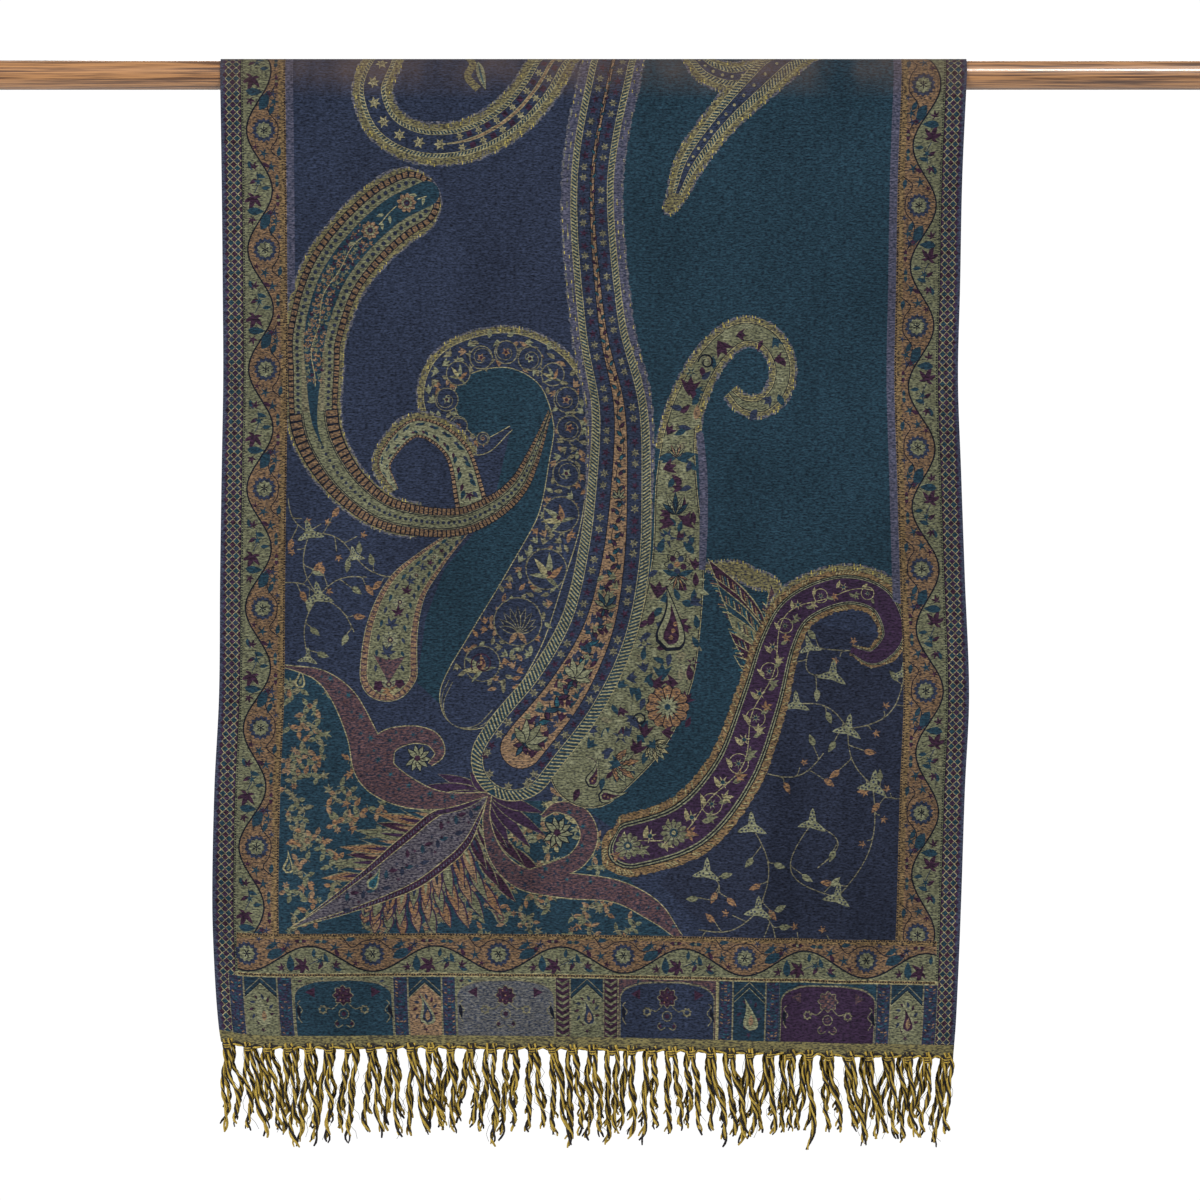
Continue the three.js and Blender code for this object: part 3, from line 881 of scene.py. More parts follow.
def olive_band():
    """The olive band that curls over at the top and ends in a full round foot: plum lilies, teal
    leaves, large tan flowers and small paisleys on olive, with a hazy rim round its curl."""
    band = Band([(489, 323), (502, 335), (521, 336), (537, 320), (540, 296), (526, 273), (500, 267),
                 (474, 286), (452, 322), (440, 362), (436, 411), (437, 484), (426, 560), (413, 600),
                 (388, 645), (325, 707)],
                [2, 5, 6.5, 7.5, 8, 8.5, 9.5, 10.5, 12, 15, 20, 25, 30, 35, 38, 38], round_end=True)
    hazy_rim(band.part(0, 0.43, 6.0))
    band.fill("gold")
    band.fill("ink", inset=0.7)
    band.fill("olive", inset=1.5)
    strewn(band, 0.84, 12, ("teal", "pale_olive", "plum", "pale_olive", "navy", "dull_gold"), 0.05, 0.97)
    for kind, u, v, size, turn, yarn in OLIVE_PLANTS:
        olive_plant(kind, on_cloth(u, v, turn=turn), size, yarn)


def ringed_band():
    """The navy band that hooks over the inner field: a hazy rim over its arch, one gold line, then
    rings that just touch with a different blossom in each, sprigs beside them and a plain foot."""
    band = Band([(277, 358), (248, 376), (220, 360), (207, 327), (224, 296), (274, 284), (317, 305),
                 (336, 351), (332, 393), (323, 447), (300, 502), (278, 550), (246, 605), (222, 640)],
                [2, 8, 13, 15, 16, 17, 18, 19, 19, 21, 27, 33, 34, 26], round_end=True)
    hazy_rim(band.part(0.07, 0.42, 6.5), 1, 0)
    hook = band.at(np.linspace(0, band.length * 0.46, 60), 0.0)
    fill(np.vstack([hook, [(300, 460), (250, 560), (215, 625), (188, 600), (196, 540), (214, 492),
                           (240, 460), (258, 440)]]), "teal")
    band.fill("gold")
    band.fill("navy", inset=0.9)
    rings = [(250, 368, 6), (226, 356, 9), (215, 331, 11), (226, 306, 11.5), (248, 291, 11), (272, 286, 11),
             (295, 292, 11.5), (317, 307, 11), (330, 331, 12), (333, 358, 12), (330, 401, 13),
             (325, 440, 17), (311, 492, 19.5), (284, 542, 23), (250, 582, 17)]
    strewn(band, 0.86, 8.5, ("pale_olive", "tan", "dull_gold", "orange", "dull_gold"), 0.05, 0.93)
    for number, (u, v, radius) in enumerate(rings):
        bloom(on_cloth(u, v), "dull_gold", radius + 0.5, 9, 0.0, 1)
        bloom(on_cloth(u, v), "navy", radius - 0.6, 9, 0.0, 1)
        lay = on_cloth(u, v + radius * 0.45, turn=math.pi + 0.5 * (number % 3 - 1))
        kind = number % 4 if radius < 15 else number % 3
        if radius < 15 and kind < 3:
            t = np.linspace(0, 1, 12)[:, None]
            turn = number + 5.6 * t
            spot = on_cloth(u, v, turn=number)
            curl = radius * (0.95 - 0.62 * t) * np.hstack([np.cos(turn), np.sin(turn)])
            draw_thread(spot(curl), 0.8, "dull_gold")
            bloom(spot, ("tan", "orange", "pale_olive")[kind], radius * 0.4, 5, 0.25, 1)
            fill(spot(DOT * radius * 0.3), "plum")
        elif radius > 15 and kind == 1:
            fan(lay, radius * 1.1, 9, 1.25, "dull_gold", ("deep_navy",), 0.26)
            leaf(turned(lay, 2.3), radius * 0.6, radius * 0.24, "tan", 0.2)
            leaf(turned(lay, -2.3), radius * 0.6, radius * 0.24, "tan", -0.2)
        else:
            for lean, long, yarn in ((0.1, 1.25, "pale_olive"), (0.75, 1.1, "gold"), (-0.7, 1.0, "orange")):
                leaf(turned(lay, lean), radius * long, radius * 0.34, yarn, 0.3)
            leaf(turned(lay, 1.5), radius * 0.8, radius * 0.24, "pale_olive", 0.4)
            leaf(turned(lay, -1.4), radius * 0.8, radius * 0.24, "olive", -0.4)
            bloom(turned(lay, 0, radius * 0.3), ("plum", "teal")[kind % 2], radius * 0.17, 5, 0.2, 1)
    spiral = np.linspace(0, 1, 26)[:, None]
    turn = 0.6 + 11 * spiral
    draw_thread(on_cloth(250, 582)(11 * spiral**0.8 * np.hstack([np.cos(turn), np.sin(turn)])), 1.4, "plum")
    for inset in (4, 8):
        band.part(0.945, 1.0, -inset, True).fill("dull_gold")
        band.part(0.945, 1.0, -inset, True).fill("navy", inset=0.8)


def small_hook():
    """The little hooked boteh between the bands: a hazy rim over it, stitched edges, leaves inside."""
    band = Band([(167, 417), (156, 389), (186, 358), (224, 379), (240, 432)], [2, 7.5, 9, 12, 16])
    hazy_rim(band.part(0, 0.75, 6.0), 1, 0)
    fill(Band([(172, 420), (166, 390), (190, 372), (214, 392), (222, 440)], [2, 8, 10, 12, 14]).outline(),
         "navy")
    ladder_edge(band, 1.0, 0.72, "ink", "tan", pitch=0.3, least=3.4)
    band.fill("pale_olive", 0.7)
    for k, s in enumerate(band.steps(0.62, least=6)):
        half = band.half_at(s) * 0.62
        side = 1 if k % 2 else -1
        leaf(band.lay(s - 3, side * half * 0.4, turn=0.5 * side), half * 1.05, half * 0.5, "teal")
        leaf(band.lay(s, -side * half * 0.45, turn=-0.4 * side), half * 0.9, half * 0.42,
             ("navy", "plum")[k % 2])
    lily(band.lay(band.length - 12, 0), 8, "plum")


def small_boteh():
    """The olive boteh under the hook: a stitched tan edge and dark flowers on olive."""
    band = Band([(243, 446), (221, 465), (201, 484), (177, 512), (164, 550), (161, 593), (164, 618)],
                [3, 8, 13, 20, 25, 28, 27], round_end=True)
    band.fill("gold")
    ladder_edge(band, 0.97, 0.76, "maroon", "tan", pitch=0.2, least=3.3)
    band.fill("gold", 0.76)
    band.fill("olive", 0.76, inset=0.7)
    for k, s in enumerate(band.steps(0.52, least=8, low=12)):
        half = band.half_at(s) * 0.7
        side = 1 if k % 2 else -1
        if k % 3 == 1:
            flower(band.lay(s, 0), half * 0.45, 8, "pale_olive", "plum", "gold", "navy")
        else:
            lily(band.lay(s, side * half * 0.15, turn=math.pi + 0.4 * side), half * 0.62,
                 ("navy", "plum")[k % 2])
        for edge in (0.62, -0.62):
            leaf(band.lay(s - 4, edge * half, turn=0.4 * edge), 7, 3.2, ("teal", "navy")[k % 2], 0.2)
    foot = band.length - 30
    fill(band.lay(foot, 0)(np.array([[-14, -15], [12, 0], [-14, 15], [-9, 0]])), "maroon")
    for side in (1, -1):
        bloom(band.lay(foot + 14, 10 * side), "plum", 5.2, 5, 0.12)
    for turn in np.linspace(-2.0, 2.0, 7):
        leaf(band.lay(band.length - 11, 0, turn=turn), 8, 3.4, ("orange", "gold")[int(turn * 3) % 2])


def plum_band():
    """The plum band that sweeps up to the right edge and curls in: a shaggy orange rim, two pale lines,
    and a climbing stem with gold and green flowers."""
    band = Band([(364, 752), (388, 754), (448, 733), (490, 683), (514, 617), (531, 560), (552, 527),
                 (595, 510), (630, 520), (641, 552), (622, 573), (600, 566)],
                [28, 30, 31, 28, 26, 22, 20, 19, 17, 15, 11, 4], round_start=True)
    top = Band([band.at(s, 0.0) for s in np.linspace(band.length * 0.62, band.length * 0.87, 10)],
               np.full(10, 25.0))
    hazy_rim(top, 1, 0, 0.8)
    band.fill("ochre", ragged=0.9, step=2.2)
    for place, turn, half, side in band.round_marks(0.88, 0.09, least=2.9):
        fill(on_cloth(*place, turn=turn + 0.9 * side)(DASH * [half * 0.2, 1.0]),
             "gold" if int(place[0]) % 3 == 0 else "border_tan")
    for share, yarn in ((0.76, "ink"), (0.72, "pale_olive"), (0.68, "ink"), (0.63, "pale_olive"),
                        (0.59, "purple")):
        band.fill(yarn, share)
    high = band.length * 0.8
    stem([band.at(s, 4.5 * math.sin(s / 15)) for s in np.linspace(16, high, 46)], 0.9, "gold")
    for k, s in enumerate(np.arange(14, high, 11.5)):
        half = band.half_at(s) * 0.55
        side = 1 if k % 2 else -1
        if k in (1, 5):
            flower(band.lay(s, 0), half * 0.78, 11, "olive", "teal", "gold", "purple")
        elif k % 4 == 3:
            star(band.lay(s, side * half * 0.25), half * 0.45, 6, "gold", "teal")
        elif k % 4 == 1:
            draw_ring(band.at(s, 0.0), half * 0.62, 0.8, "gold")
            star(band.lay(s, 0), half * 0.34, 7, "pale_olive", "teal")
        else:
            lily(band.lay(s, side * half * 0.35, turn=0.7 * side), half * 0.62,
                 ("orange", "gold", "olive")[k % 3])
        leaf(band.lay(s + 5, -side * half * 0.25, turn=-0.8 * side), half * 0.75, half * 0.32,
             ("gold", "olive")[k % 2], 0.2)


def feathered_leaf():
    """The spray of feathers that hangs from the edge of the plain teal field."""
    shag = Band([(462, 489), (478, 490), (494, 492), (510, 500), (526, 505), (534, 514)],
                [3, 8, 9, 10, 9, 4])
    hazy_rim(shag, specks=0.8)
    feathers = [
        # foot, tip, width
        ((522, 548), (461, 489), 19),
        ((524, 566), (470, 512), 18),
        ((533, 570), (520, 508), 16),
        ((526, 580), (480, 537), 17),
        ((529, 592), (483, 556), 16),
        ((531, 603), (488, 578), 15),
        ((533, 590), (541, 530), 13),
    ]
    for number, (foot, tip, width) in enumerate(feathers):
        run = np.array(tip) - np.array(foot)
        long, turn = math.hypot(*run), math.atan2(run[0], run[1])
        lay = on_cloth(*foot, turn=turn)
        leaf(lay, long + 2.5, width + 2.5, "gold", -0.1)
        leaf(lay, long, width, ("plum", "teal", "maroon", "olive")[number % 4], -0.1, 0.8)
        for k, x in enumerate(np.arange(long * 0.16, long * 0.84, 3.1)):
            reach = 0.34 * width * math.sin(math.pi * x / long)
            for side in (1, -1):
                place = on_cloth(*lay(np.array([[x, side * reach]]))[0], turn=turn + 0.6 * side)
                yarn = ("bright_teal", "olive", "orange", "plum", "gold")[(k + number) % 5]
                fill(place(DASH * [reach * 1.5 + 1, 1.1]), yarn)
        draw_thread(lay(np.array([[1, 0], [long * 0.5, -long * 0.05], [long * 0.85, 0]])), 0.9, "gold")


def hatched_scrolls():
    """The two flat maroon scrolls that spring from the middle: a gold line and small dark flowers."""
    scrolls = [
        # spine, half widths
        ([(60, 584), (95, 593), (119, 615), (137, 650), (150, 683), (175, 702), (212, 712), (257, 706)],
         [1, 6, 12, 14, 19, 16, 9, 2]),
        ([(150, 690), (158, 660), (180, 650), (202, 653), (211, 667), (202, 678)], [18, 13, 9, 8, 6, 1.5]),
        ([(259, 704), (256, 732), (266, 765), (290, 786), (330, 792), (378, 797), (414, 815), (440, 840)],
         [2, 4, 8, 11, 13, 11, 11, 3]),
        ([(290, 788), (315, 779), (340, 768), (352, 746), (343, 724), (322, 718), (308, 727)],
         [9, 8, 9, 9, 8, 6, 1.5]),
    ]
    bands = [Band(spine, halves) for spine, halves in scrolls]
    for band in bands:
        band.fill("gold")
    for band in bands:
        band.fill("maroon", inset=0.9)
    for number, band in enumerate(bands):
        for k, s in enumerate(np.arange(9, band.length - 6, 7.5)):
            half = band.half_at(s)
            if half > 5:
                lay = band.lay(s, (k % 3 - 1) * half * 0.45)
                star(lay, (2.2, 3.0, 4.2)[(k + number) % 3], 6, ("deep_navy", "teal", "bright_teal")[k % 3])
    for u, v, size in ((190, 672, 11), (322, 742, 13)):
        for turn in np.arange(-1.0, 4.0, 0.62):
            lay = on_cloth(u, v, turn=turn)
            leaf(lay, size * 1.25, size * 0.6, "ink")
            leaf(lay, size * 1.15, size * 0.42, "pale_olive")
        bloom(on_cloth(u, v), "plum", size * 0.3, 5, 0.1, 1)


def palm_leaf():
    """The pointed leaf at the foot, with flame petals on both sides and a fan of plum petals at its
    base: a plum edge with a stitched gold line, and a grey field with a small teal boteh."""
    base = np.array([257.0, 706.0])
    spine = Band([(74, 833), (128, 806), (180, 775), (222, 740), base], [0.5, 13, 25, 26, 2])
    for k in range(11):
        t = k / 10
        s = (0.42 + 0.42 * t) * spine.length
        lay = on_cloth(*spine.at(s, spine.half_at(s) * 0.6), turn=-1.32 - 0.35 * t)
        long = 48 + 12 * math.sin(math.pi * t) - 12 * (k % 2)
        leaf(lay, long + 2, 11, "dull_gold", -0.12)
        leaf(lay, long, 8.4, ("orange", "teal", "olive", "plum")[k % 4], -0.12, 1)
        leaf(lay, long * 0.5, 3.4, ("purple", "tan")[k % 2], -0.12, 8)
    for row in (2, 1, 0):
        for k in range(13):
            t = k / 12
            s = (0.34 + 0.6 * t) * spine.length
            turn = -0.5 + 1.05 * t + 0.12 * (row - 1)
            total = 18 + 62 * t**0.8
            root = spine.at(s, -spine.half_at(s) * 0.75)
            lay = on_cloth(*(root + np.array([math.sin(turn), math.cos(turn)]) * total * 0.28 * row),
                           turn=turn)
            long = total * 0.52 + 5 * (k % 2)
            inner = ("purple", ("tan", "olive", "orange")[(k + row) % 3])
            edge, body = ("dull_gold", "plum") if t > 0.75 else inner
            leaf(lay, long + 1.6, 11.5, edge, 0.14)
            leaf(lay, long, 8.6, body, 0.14, 0.8)
            if row < 2:
                leaf(lay, long * 0.5, 3.2, ("deep_navy", "pale_olive")[k % 2], 0.14, 4)
    spine.fill("gold")
    spine.fill("plum", inset=0.9)
    for place, turn, _, _ in spine.round_marks(0.84, 0.11, least=3.2, low=0.12, high=0.92):
        fill(on_cloth(*place, turn=turn + 0.9)(DASH * [2.6, 0.9]), "lilac")
    spine.fill("gold", 0.72)
    spine.fill("leaf_grey", 0.72, inset=0.8)
    for k, s in enumerate(np.arange(50, spine.length - 14, 7)):
        lean = 0.7 * (1 if k % 2 else -1)
        lay = spine.lay(s, 5.5 * (k % 3 - 1), turn=lean)
        leaf(lay, 9, 4.4, ("deep_navy", "teal", "plum")[k % 3], 0.2)
        star(spine.lay(s + 3, -6.5 * (k % 3 - 1)), 2.8, 5, ("plum", "deep_navy")[k % 2])
    boteh(spine.lay(spine.length * 0.36, 1, turn=0.2), 23, "pale_olive", "bright_teal")
    for turn, long in ((-2.0, 50), (-1.75, 60), (-1.5, 64), (-1.25, 58), (0.35, 50), (0.62, 64), (0.9, 66),
                       (1.2, 54), (2.2, 26), (-2.5, 26)):
        lay = on_cloth(*base, turn=turn)
        leaf(lay, long + 1.4, 12.8, "dull_gold", 0.05)
        leaf(lay, long, 11, "purple", 0.05, 1)


class Side:
    """One run of the border. Places on it are given as across, counted inwards from the cloth's edge,
    and along, counted from its first rosette."""

    def __init__(self, origin, turn, mirror=1):
        self.base = on_cloth(*origin, turn=turn, mirror=mirror)

    def path(self, points):
        points = np.asarray(points, dtype=float)
        return self.base(paired(points[:, 1], points[:, 0]))

    def strip(self, low, high, begin, end):
        return self.path([(low, begin), (high, begin), (high, end), (low, end)])

    def lay(self, across, along, turn=0.0, size=1.0):
        c, k = math.cos(turn) * size, math.sin(turn) * size

        def place(xy):
            x, y = xy[:, 0], xy[:, 1]
            return self.base(paired(along + c * x - k * y, across + k * x + c * y))

        return place


# One repeat of the running border, from one rosette towards the next: what stands where, its size,
# its turn and its yarn
BORDER_SPRIGS = [
    # kind, across, along, size, turn, yarn
    ("leaf", 37, -19, 19, 2.55, "teal"),
    ("star", 51, -27, 5.0, 0.3, "teal"),
    ("star", 55, -12, 3.4, 0.9, "navy"),
    ("star", 46, -35, 4.0, 0.2, "plum"),
    ("star", 32.5, 16, 3.8, 0.5, "plum"),
    ("star", 40.5, 22, 5.2, 0.2, "teal"),
    ("leaf", 54, 25, 9, 2.8, "teal"),
    ("star", 47.5, 35, 5.4, 0.6, "teal"),
    ("leaf", 39, 31, 8, 0.9, "plum"),
    ("bud", 53, 48, 6.4, 0.0, "teal"),
    ("bud", 53.5, 67, 6.0, 0.0, "plum"),
    ("star", 50, 79, 4.6, 0.4, "navy"),
    ("leaf", 51, 90, 10, -0.6, "teal"),
    ("leaf", 26, 29, 9, 0.2, "teal"),
    ("lily", 30.5, 36, 7.0, 2.9, "plum"),
    ("leaf", 33, 42, 9, 1.1, "teal"),
    ("leaf", 34, 47, 8, -1.2, "plum"),
    ("star", 35, 49, 4.4, 0.7, "teal"),
    ("leaf", 38, 55, 8, 1.5, "teal"),
    ("lily", 31, 63, 14.5, -0.25, "plum"),
    ("leaf", 24, 76, 15, 1.35, "teal"),
    ("lily", 28, 84, 7.0, 0.3, "plum"),
]


def bead_row(side, across, begin, end, ground):
    """A fine row of dark beads on a lighter thread."""
    fill(side.strip(across - 1.05, across + 1.05, begin, end), ground)
    for along in np.arange(begin + 1.2, end - 0.6, 2.5):
        fill(side.lay(across, along)(DASH * [1.3, 1.25]), "ink")


def running_border(side, begin, end, period):
    """The waving stem: olive between the stem and the cloth's edge, tan on its inner side, a rosette in
    each inner bend and a lily in each outer one."""
    def stem_at(along):
        return 36.5 - 12 * np.cos(2 * math.pi * along / period)

    fill(side.strip(22, 60, begin, end), "border_tan")
    fill(side.strip(55.5, 60, begin, end), "ochre")
    walk = np.arange(begin, end + 2.9, 3.0).clip(begin, end)
    wave = paired(stem_at(walk), walk)
    fill(side.path(np.vstack([wave, [(22, walk[-1]), (22, begin)]])), "olive")
    draw_thread(side.path(wave), 1.5, "ink")
    for number in range(math.floor(begin / period) - 1, math.ceil(end / period) + 1):
        start = number * period
        curl = [(57.5, 28), (47.5, 19), (53.5, 8), (54, -6), (45.5, -18), (46, -31), (52, -42)]
        pieces = [(across, along + start) for across, along in curl]
        if begin < start - 42 and start + 28 < end:
            stem(side.path(pieces), 0.9, "ink")
            draw_thread(side.path([(34, 40 + start), (35, 52 + start), (31, 60 + start)]), 0.8, "navy")
        if begin + 8 < start < end - 8:
            ring = side.lay(41, start)
            bloom(ring, "navy", 11.6, 14, 0.09)
            bloom(ring, "olive", 8.0, 10, 0.10)
            bloom(ring, "pale_olive", 6.6, 5, 0.3)
            bloom(ring, "ink", 4.6, 6, 0.42)
        for kind, across, along, size, turn, yarn in BORDER_SPRIGS:
            at = start + along
            if not begin + 4 < at < end - size:
                continue
            lay = side.lay(across, at, turn)
            if kind == "leaf":
                leaf(lay, size * 1.1, size * 0.5, yarn, 0.15)
            elif kind == "star":
                star(lay, size * 1.15, 5, yarn)
            elif kind == "lily":
                lily(lay, size, yarn)
            else:
                leaf(lay, size, size * 0.6, yarn)
                leaf(side.lay(across, at, turn + math.pi), size, size * 0.6, yarn)
                bloom(lay, "olive", 1.5, 5, 0.1, 1)


def side_border(right):
    """The whole of one side border: a plain edge, the lattice, a bead row, the running stem, a plain
    stripe and a second bead row."""
    side = Side((sheet_width, 31.9), math.pi) if right else Side((0, 75), 0.0)
    begin, end = (31.9 - sheet_length - 6, 31.9 + 6) if right else (-81, sheet_length - 69)
    cut = 31.9 - 876 if right else 876 - 75
    period = 114.5 if right else 113.6
    fill(side.strip(-2, 21, begin, end), "gold")
    fill(side.strip(-2, 4.6, begin, end), "edge")
    for column, across in enumerate((4.7, 8.2, 11.7, 15.2, 18.7)):
        for row, along in enumerate(np.arange(begin, end, 7.1)):
            at = along + 3.55 * (column % 2)
            warm = ("purple", "plum", "purple")[row % 3]
            yarn = warm if column % 2 == 0 else ("navy", "teal")[(row + column) % 2]
            wide = 3.12 if 0 < column < 4 else 2.6
            fill(side.lay(across, at)(np.array([[-3.1, 0], [0, -wide], [3.1, 0], [0, wide]])), yarn)
    fill(side.strip(19.2, 20.2, begin, end), "ink")
    low, high = (cut, end) if right else (begin, cut)
    running_border(side, low, high, period)
    bead_row(side, 21.0, begin, end, "olive")
    bead_row(side, 61.0, low, high, "ochre")


# The row of niches at the end of the cloth: how far down it begins and ends
niche_top = 880
niche_foot = 938
# The niches from left to right; a narrow one has no spandrels. The figure is a paisley or a medallion
NICHES = [
    # centre, ground, spandrels, figure
    (42.5, "olive", None, "pale_olive"),
    (120, "teal", "olive", "plum"),
    (197, "tan", None, "navy"),
    (273, "grey_weave", "olive", "plum"),
    (350, "olive", None, "navy"),
    (428, "navy", "maroon", "plum"),
    (508, "dark_teal", None, "olive"),
    (585, "purple", "teal", "maroon"),
    (662, "olive", None, "plum"),
]


def narrow_niche(centre, ground, figure):
    """A narrow niche between two pillars: a pointed arch over a curled paisley with leaves round it."""
    half = 16
    block(centre - half, centre + half, niche_top, niche_foot, "dull_gold")
    block(centre - half + 0.8, centre + half - 0.8, niche_top, niche_foot, "dark_teal")
    for drop, yarn in ((0, "dull_gold"), (1.0, "dark_teal"), (4.5, "ink"), (5.6, "pale_olive"),
                       (6.4, ground)):
        fill([(centre - half + 0.8, niche_top + 14 + drop), (centre, niche_top + drop),
              (centre + half - 0.8, niche_top + 14 + drop), (centre + half - 0.8, niche_foot),
              (centre - half + 0.8, niche_foot)], yarn)
    for k in range(11):
        turn = k * 2 * math.pi / 11
        lay = on_cloth(centre + 7 * math.sin(turn), niche_top + 31 + 10 * math.cos(turn), turn=turn + 0.4)
        leaf(lay, 6, 2.8, ("plum", "navy")[k % 2], 0.2)
    boteh(on_cloth(centre + 1, niche_top + 46, turn=math.pi - 0.15), 30, "pale_olive", figure, "tan")
    star(on_cloth(centre, niche_top + 50), 3.4, 5, "plum")


def wide_niche(centre, ground, spandrels, figure, width):
    """A wide niche: a scalloped arch under speckled spandrels, a medallion with two rings and a lower
    scroll, and a small curl on each side."""
    half = width / 2
    block(centre - half, centre + half, niche_top, niche_foot, spandrels)
    for k in range(26):
        side = 1 if k % 2 else -1
        place = (centre + side * (half - 3 - 26 * scatter(k + centre)),
                 niche_top + 2.5 + 11 * scatter(k + 3.3))
        leaf(on_cloth(*place, turn=k * 1.9), 5, 2.3, ("plum", "navy", "teal")[k % 3], 0.2)
    turn = np.linspace(0, math.pi, 40)
    scallop = 1 + 0.035 * np.abs(np.sin(turn * 5.5))
    arch = paired(centre + (half - 1) * np.sign(np.cos(turn)) * np.abs(np.cos(turn)) ** 0.72
                  * scallop.clip(0, 1.0), niche_top + 19 - 17 * np.sin(turn) ** 0.85 * scallop)
    outline = np.vstack([arch, [(centre - half + 1, niche_foot), (centre + half - 1, niche_foot)]])
    fill(outline, "dull_gold")
    fill((outline - [centre, niche_top + 30]) * [0.978, 0.965] + [centre, niche_top + 30.6], ground)
    block(centre - half + 2, centre + half - 2, niche_foot - 6, niche_foot, ground)
    bloom(on_cloth(centre, niche_top + 17), "dull_gold", 10.2, 8, 0.12)
    bloom(on_cloth(centre, niche_top + 17), figure, 9.2, 8, 0.13)
    for k in range(9):
        spot = on_cloth(centre + 5.2 * math.cos(k * 0.7) * (k > 0),
                        niche_top + 17 + 5.2 * math.sin(k * 0.7) * (k > 0))
        fill(spot(DOT * 1.7), ("orange", "navy", "maroon")[k % 3])
    for side in (1, -1):
        stem([(centre + side * 5, niche_top + 25), (centre + side * 11, niche_top + 30),
              (centre + side * 16, niche_top + 28)], 1.0, "dull_gold")
        bloom(on_cloth(centre + side * 19.5, niche_top + 30.5), "dull_gold", 4.6, 7, 0.12)
        bloom(on_cloth(centre + side * 19.5, niche_top + 30.5), ground, 2.6, 5, 0.1)
        stem([(centre + side * 1.5, niche_top + 45), (centre + side * 6, niche_top + 47.5),
              (centre + side * 9, niche_top + 44), (centre + side * 6.5, niche_top + 40.5)], 1.1,
             "dull_gold", 1.5)
        bloom(on_cloth(centre + side * 7, niche_top + 44), figure, 2.4, 5, 0.2)
        edge = centre + side * half
        stem([(edge - side * 7, niche_top + 22), (edge - side * 4.2, niche_top + 25),
              (edge - side * 8.5, niche_top + 31), (edge - side * 4, niche_top + 37),
              (edge - side * 7.5, niche_top + 43)], 1.0, "dull_gold", 2.0)
        leaf(on_cloth(edge - side * 5, niche_top + 26, turn=0.1 * side), 14, 3.6, "ink", 0.2)
        beak = on_cloth(edge - side * 17, niche_top + 14, turn=side * 1.6)
        fill(beak(np.array([[-4, -5], [5, 0], [-4, 5]])), figure)
    draw_ring((centre, niche_top + 34.5), 4.6, 1.0, "dull_gold")
    bloom(on_cloth(centre, niche_top + 34.5), figure, 2.8, 6, 0.15)


def pillar(low, high, chevrons):
    """A narrow pillar between two niches, speckled or with chevrons."""
    block(low, high, niche_top, niche_foot, "dull_gold")
    block(low + 0.7, high - 0.7, niche_top, niche_foot, "plum" if chevrons else "navy")
    middle = (low + high) / 2
    half = (high - low) / 2 - 1.4
    if chevrons:
        for down in np.arange(niche_top + 1, niche_foot - 3, 6.2):
            fill([(middle - half, down), (middle, down + 3.4), (middle + half, down),
                  (middle + half, down + 2.4), (middle, down + 6.0), (middle - half, down + 2.4)], "olive")
        return
    for row, down in enumerate(np.arange(niche_top + 1.6, niche_foot - 0.5, 2.7)):
        for column in range(3):
            chance = scatter(row * 7 + column * 3 + low)
            across = middle + half * (0.62 * (column - 1) + 0.5 * (chance - 0.5))
            yarn = ("plum", "bright_teal", "orange", "purple", "teal")[int(chance * 5)]
            fill(on_cloth(across, down, turn=0.5 * (column - 1))(DASH * [1.1, 2.6]), yarn)


def end_border():
    """The border across the end: a bead row, the running stem again, a second bead row and the niches."""
    side = Side((149, 899), -math.pi / 2, -1)
    begin, end = 149 - (sheet_width - 22), 149 - 22
    running_border(side, begin, end, 118)
    block(19, 692, 876, niche_foot, "gold")
    bead_row(side, 21.2, begin, end, "ochre")
    bead_row(side, 59.3, begin, end, "ochre")
    for k, (centre, ground, spandrels, figure) in enumerate(NICHES):
        if spandrels is None:
            narrow_niche(centre, ground, figure)
            for low in (centre - 30, centre + 16):
                pillar(low, low + 14, k == 4)
        else:
            wide_niche(centre, ground, spandrels, figure, 95)


def grounds():
    """The plain grounds of the field, under all its figures. The lower right of the field is a darker navy,
    which is painted shade.
    """
    block(-2, 714, -4, 940, "navy")
    fill([(375, -4), (651, -4), (651, 527), (633, 522), (595, 510), (552, 527), (531, 560), (514, 617),
                (490, 683), (448, 733), (400, 755), (338, 712), (375, 480)], "teal")
    # The lower right of the field in the darker navy: painted shade
    fill([(480, 842), (420, 790), (470, 720), (520, 620), (560, 540), (651, 560), (651, 842)], "deep_navy")
    fill([(62, 588), (98, 592), (125, 610), (140, 640), (160, 690), (200, 705), (262, 712), (340, 712),
                (364, 750), (430, 836), (440, 842), (62, 842)], "teal")


def inside(outline, points):
    """Which points an outline winds round, counted from the edges that cross the level of each point
    to its right, one way less the other."""
    order = np.argsort(points[:, 1])
    x, y = points[order].T
    start, end = outline, np.roll(outline, -1, axis=0)
    first = np.searchsorted(y, np.minimum(start[:, 1], end[:, 1]))
    count = np.searchsorted(y, np.maximum(start[:, 1], end[:, 1])) - first
    edge = np.repeat(np.arange(len(outline)), count)
    point = np.arange(len(edge)) - np.repeat(np.cumsum(count) - count - first, count)
    rise = (end - start)[edge]
    crossing = start[edge, 0] + (y[point] - start[edge, 1]) * rise[:, 0] / rise[:, 1]
    hit = crossing > x[point]
    turns = np.bincount(point[hit], weights=np.sign(rise[hit, 1]), minlength=len(points))
    found = np.zeros(len(points), dtype=bool)
    found[order] = turns != 0
    return found


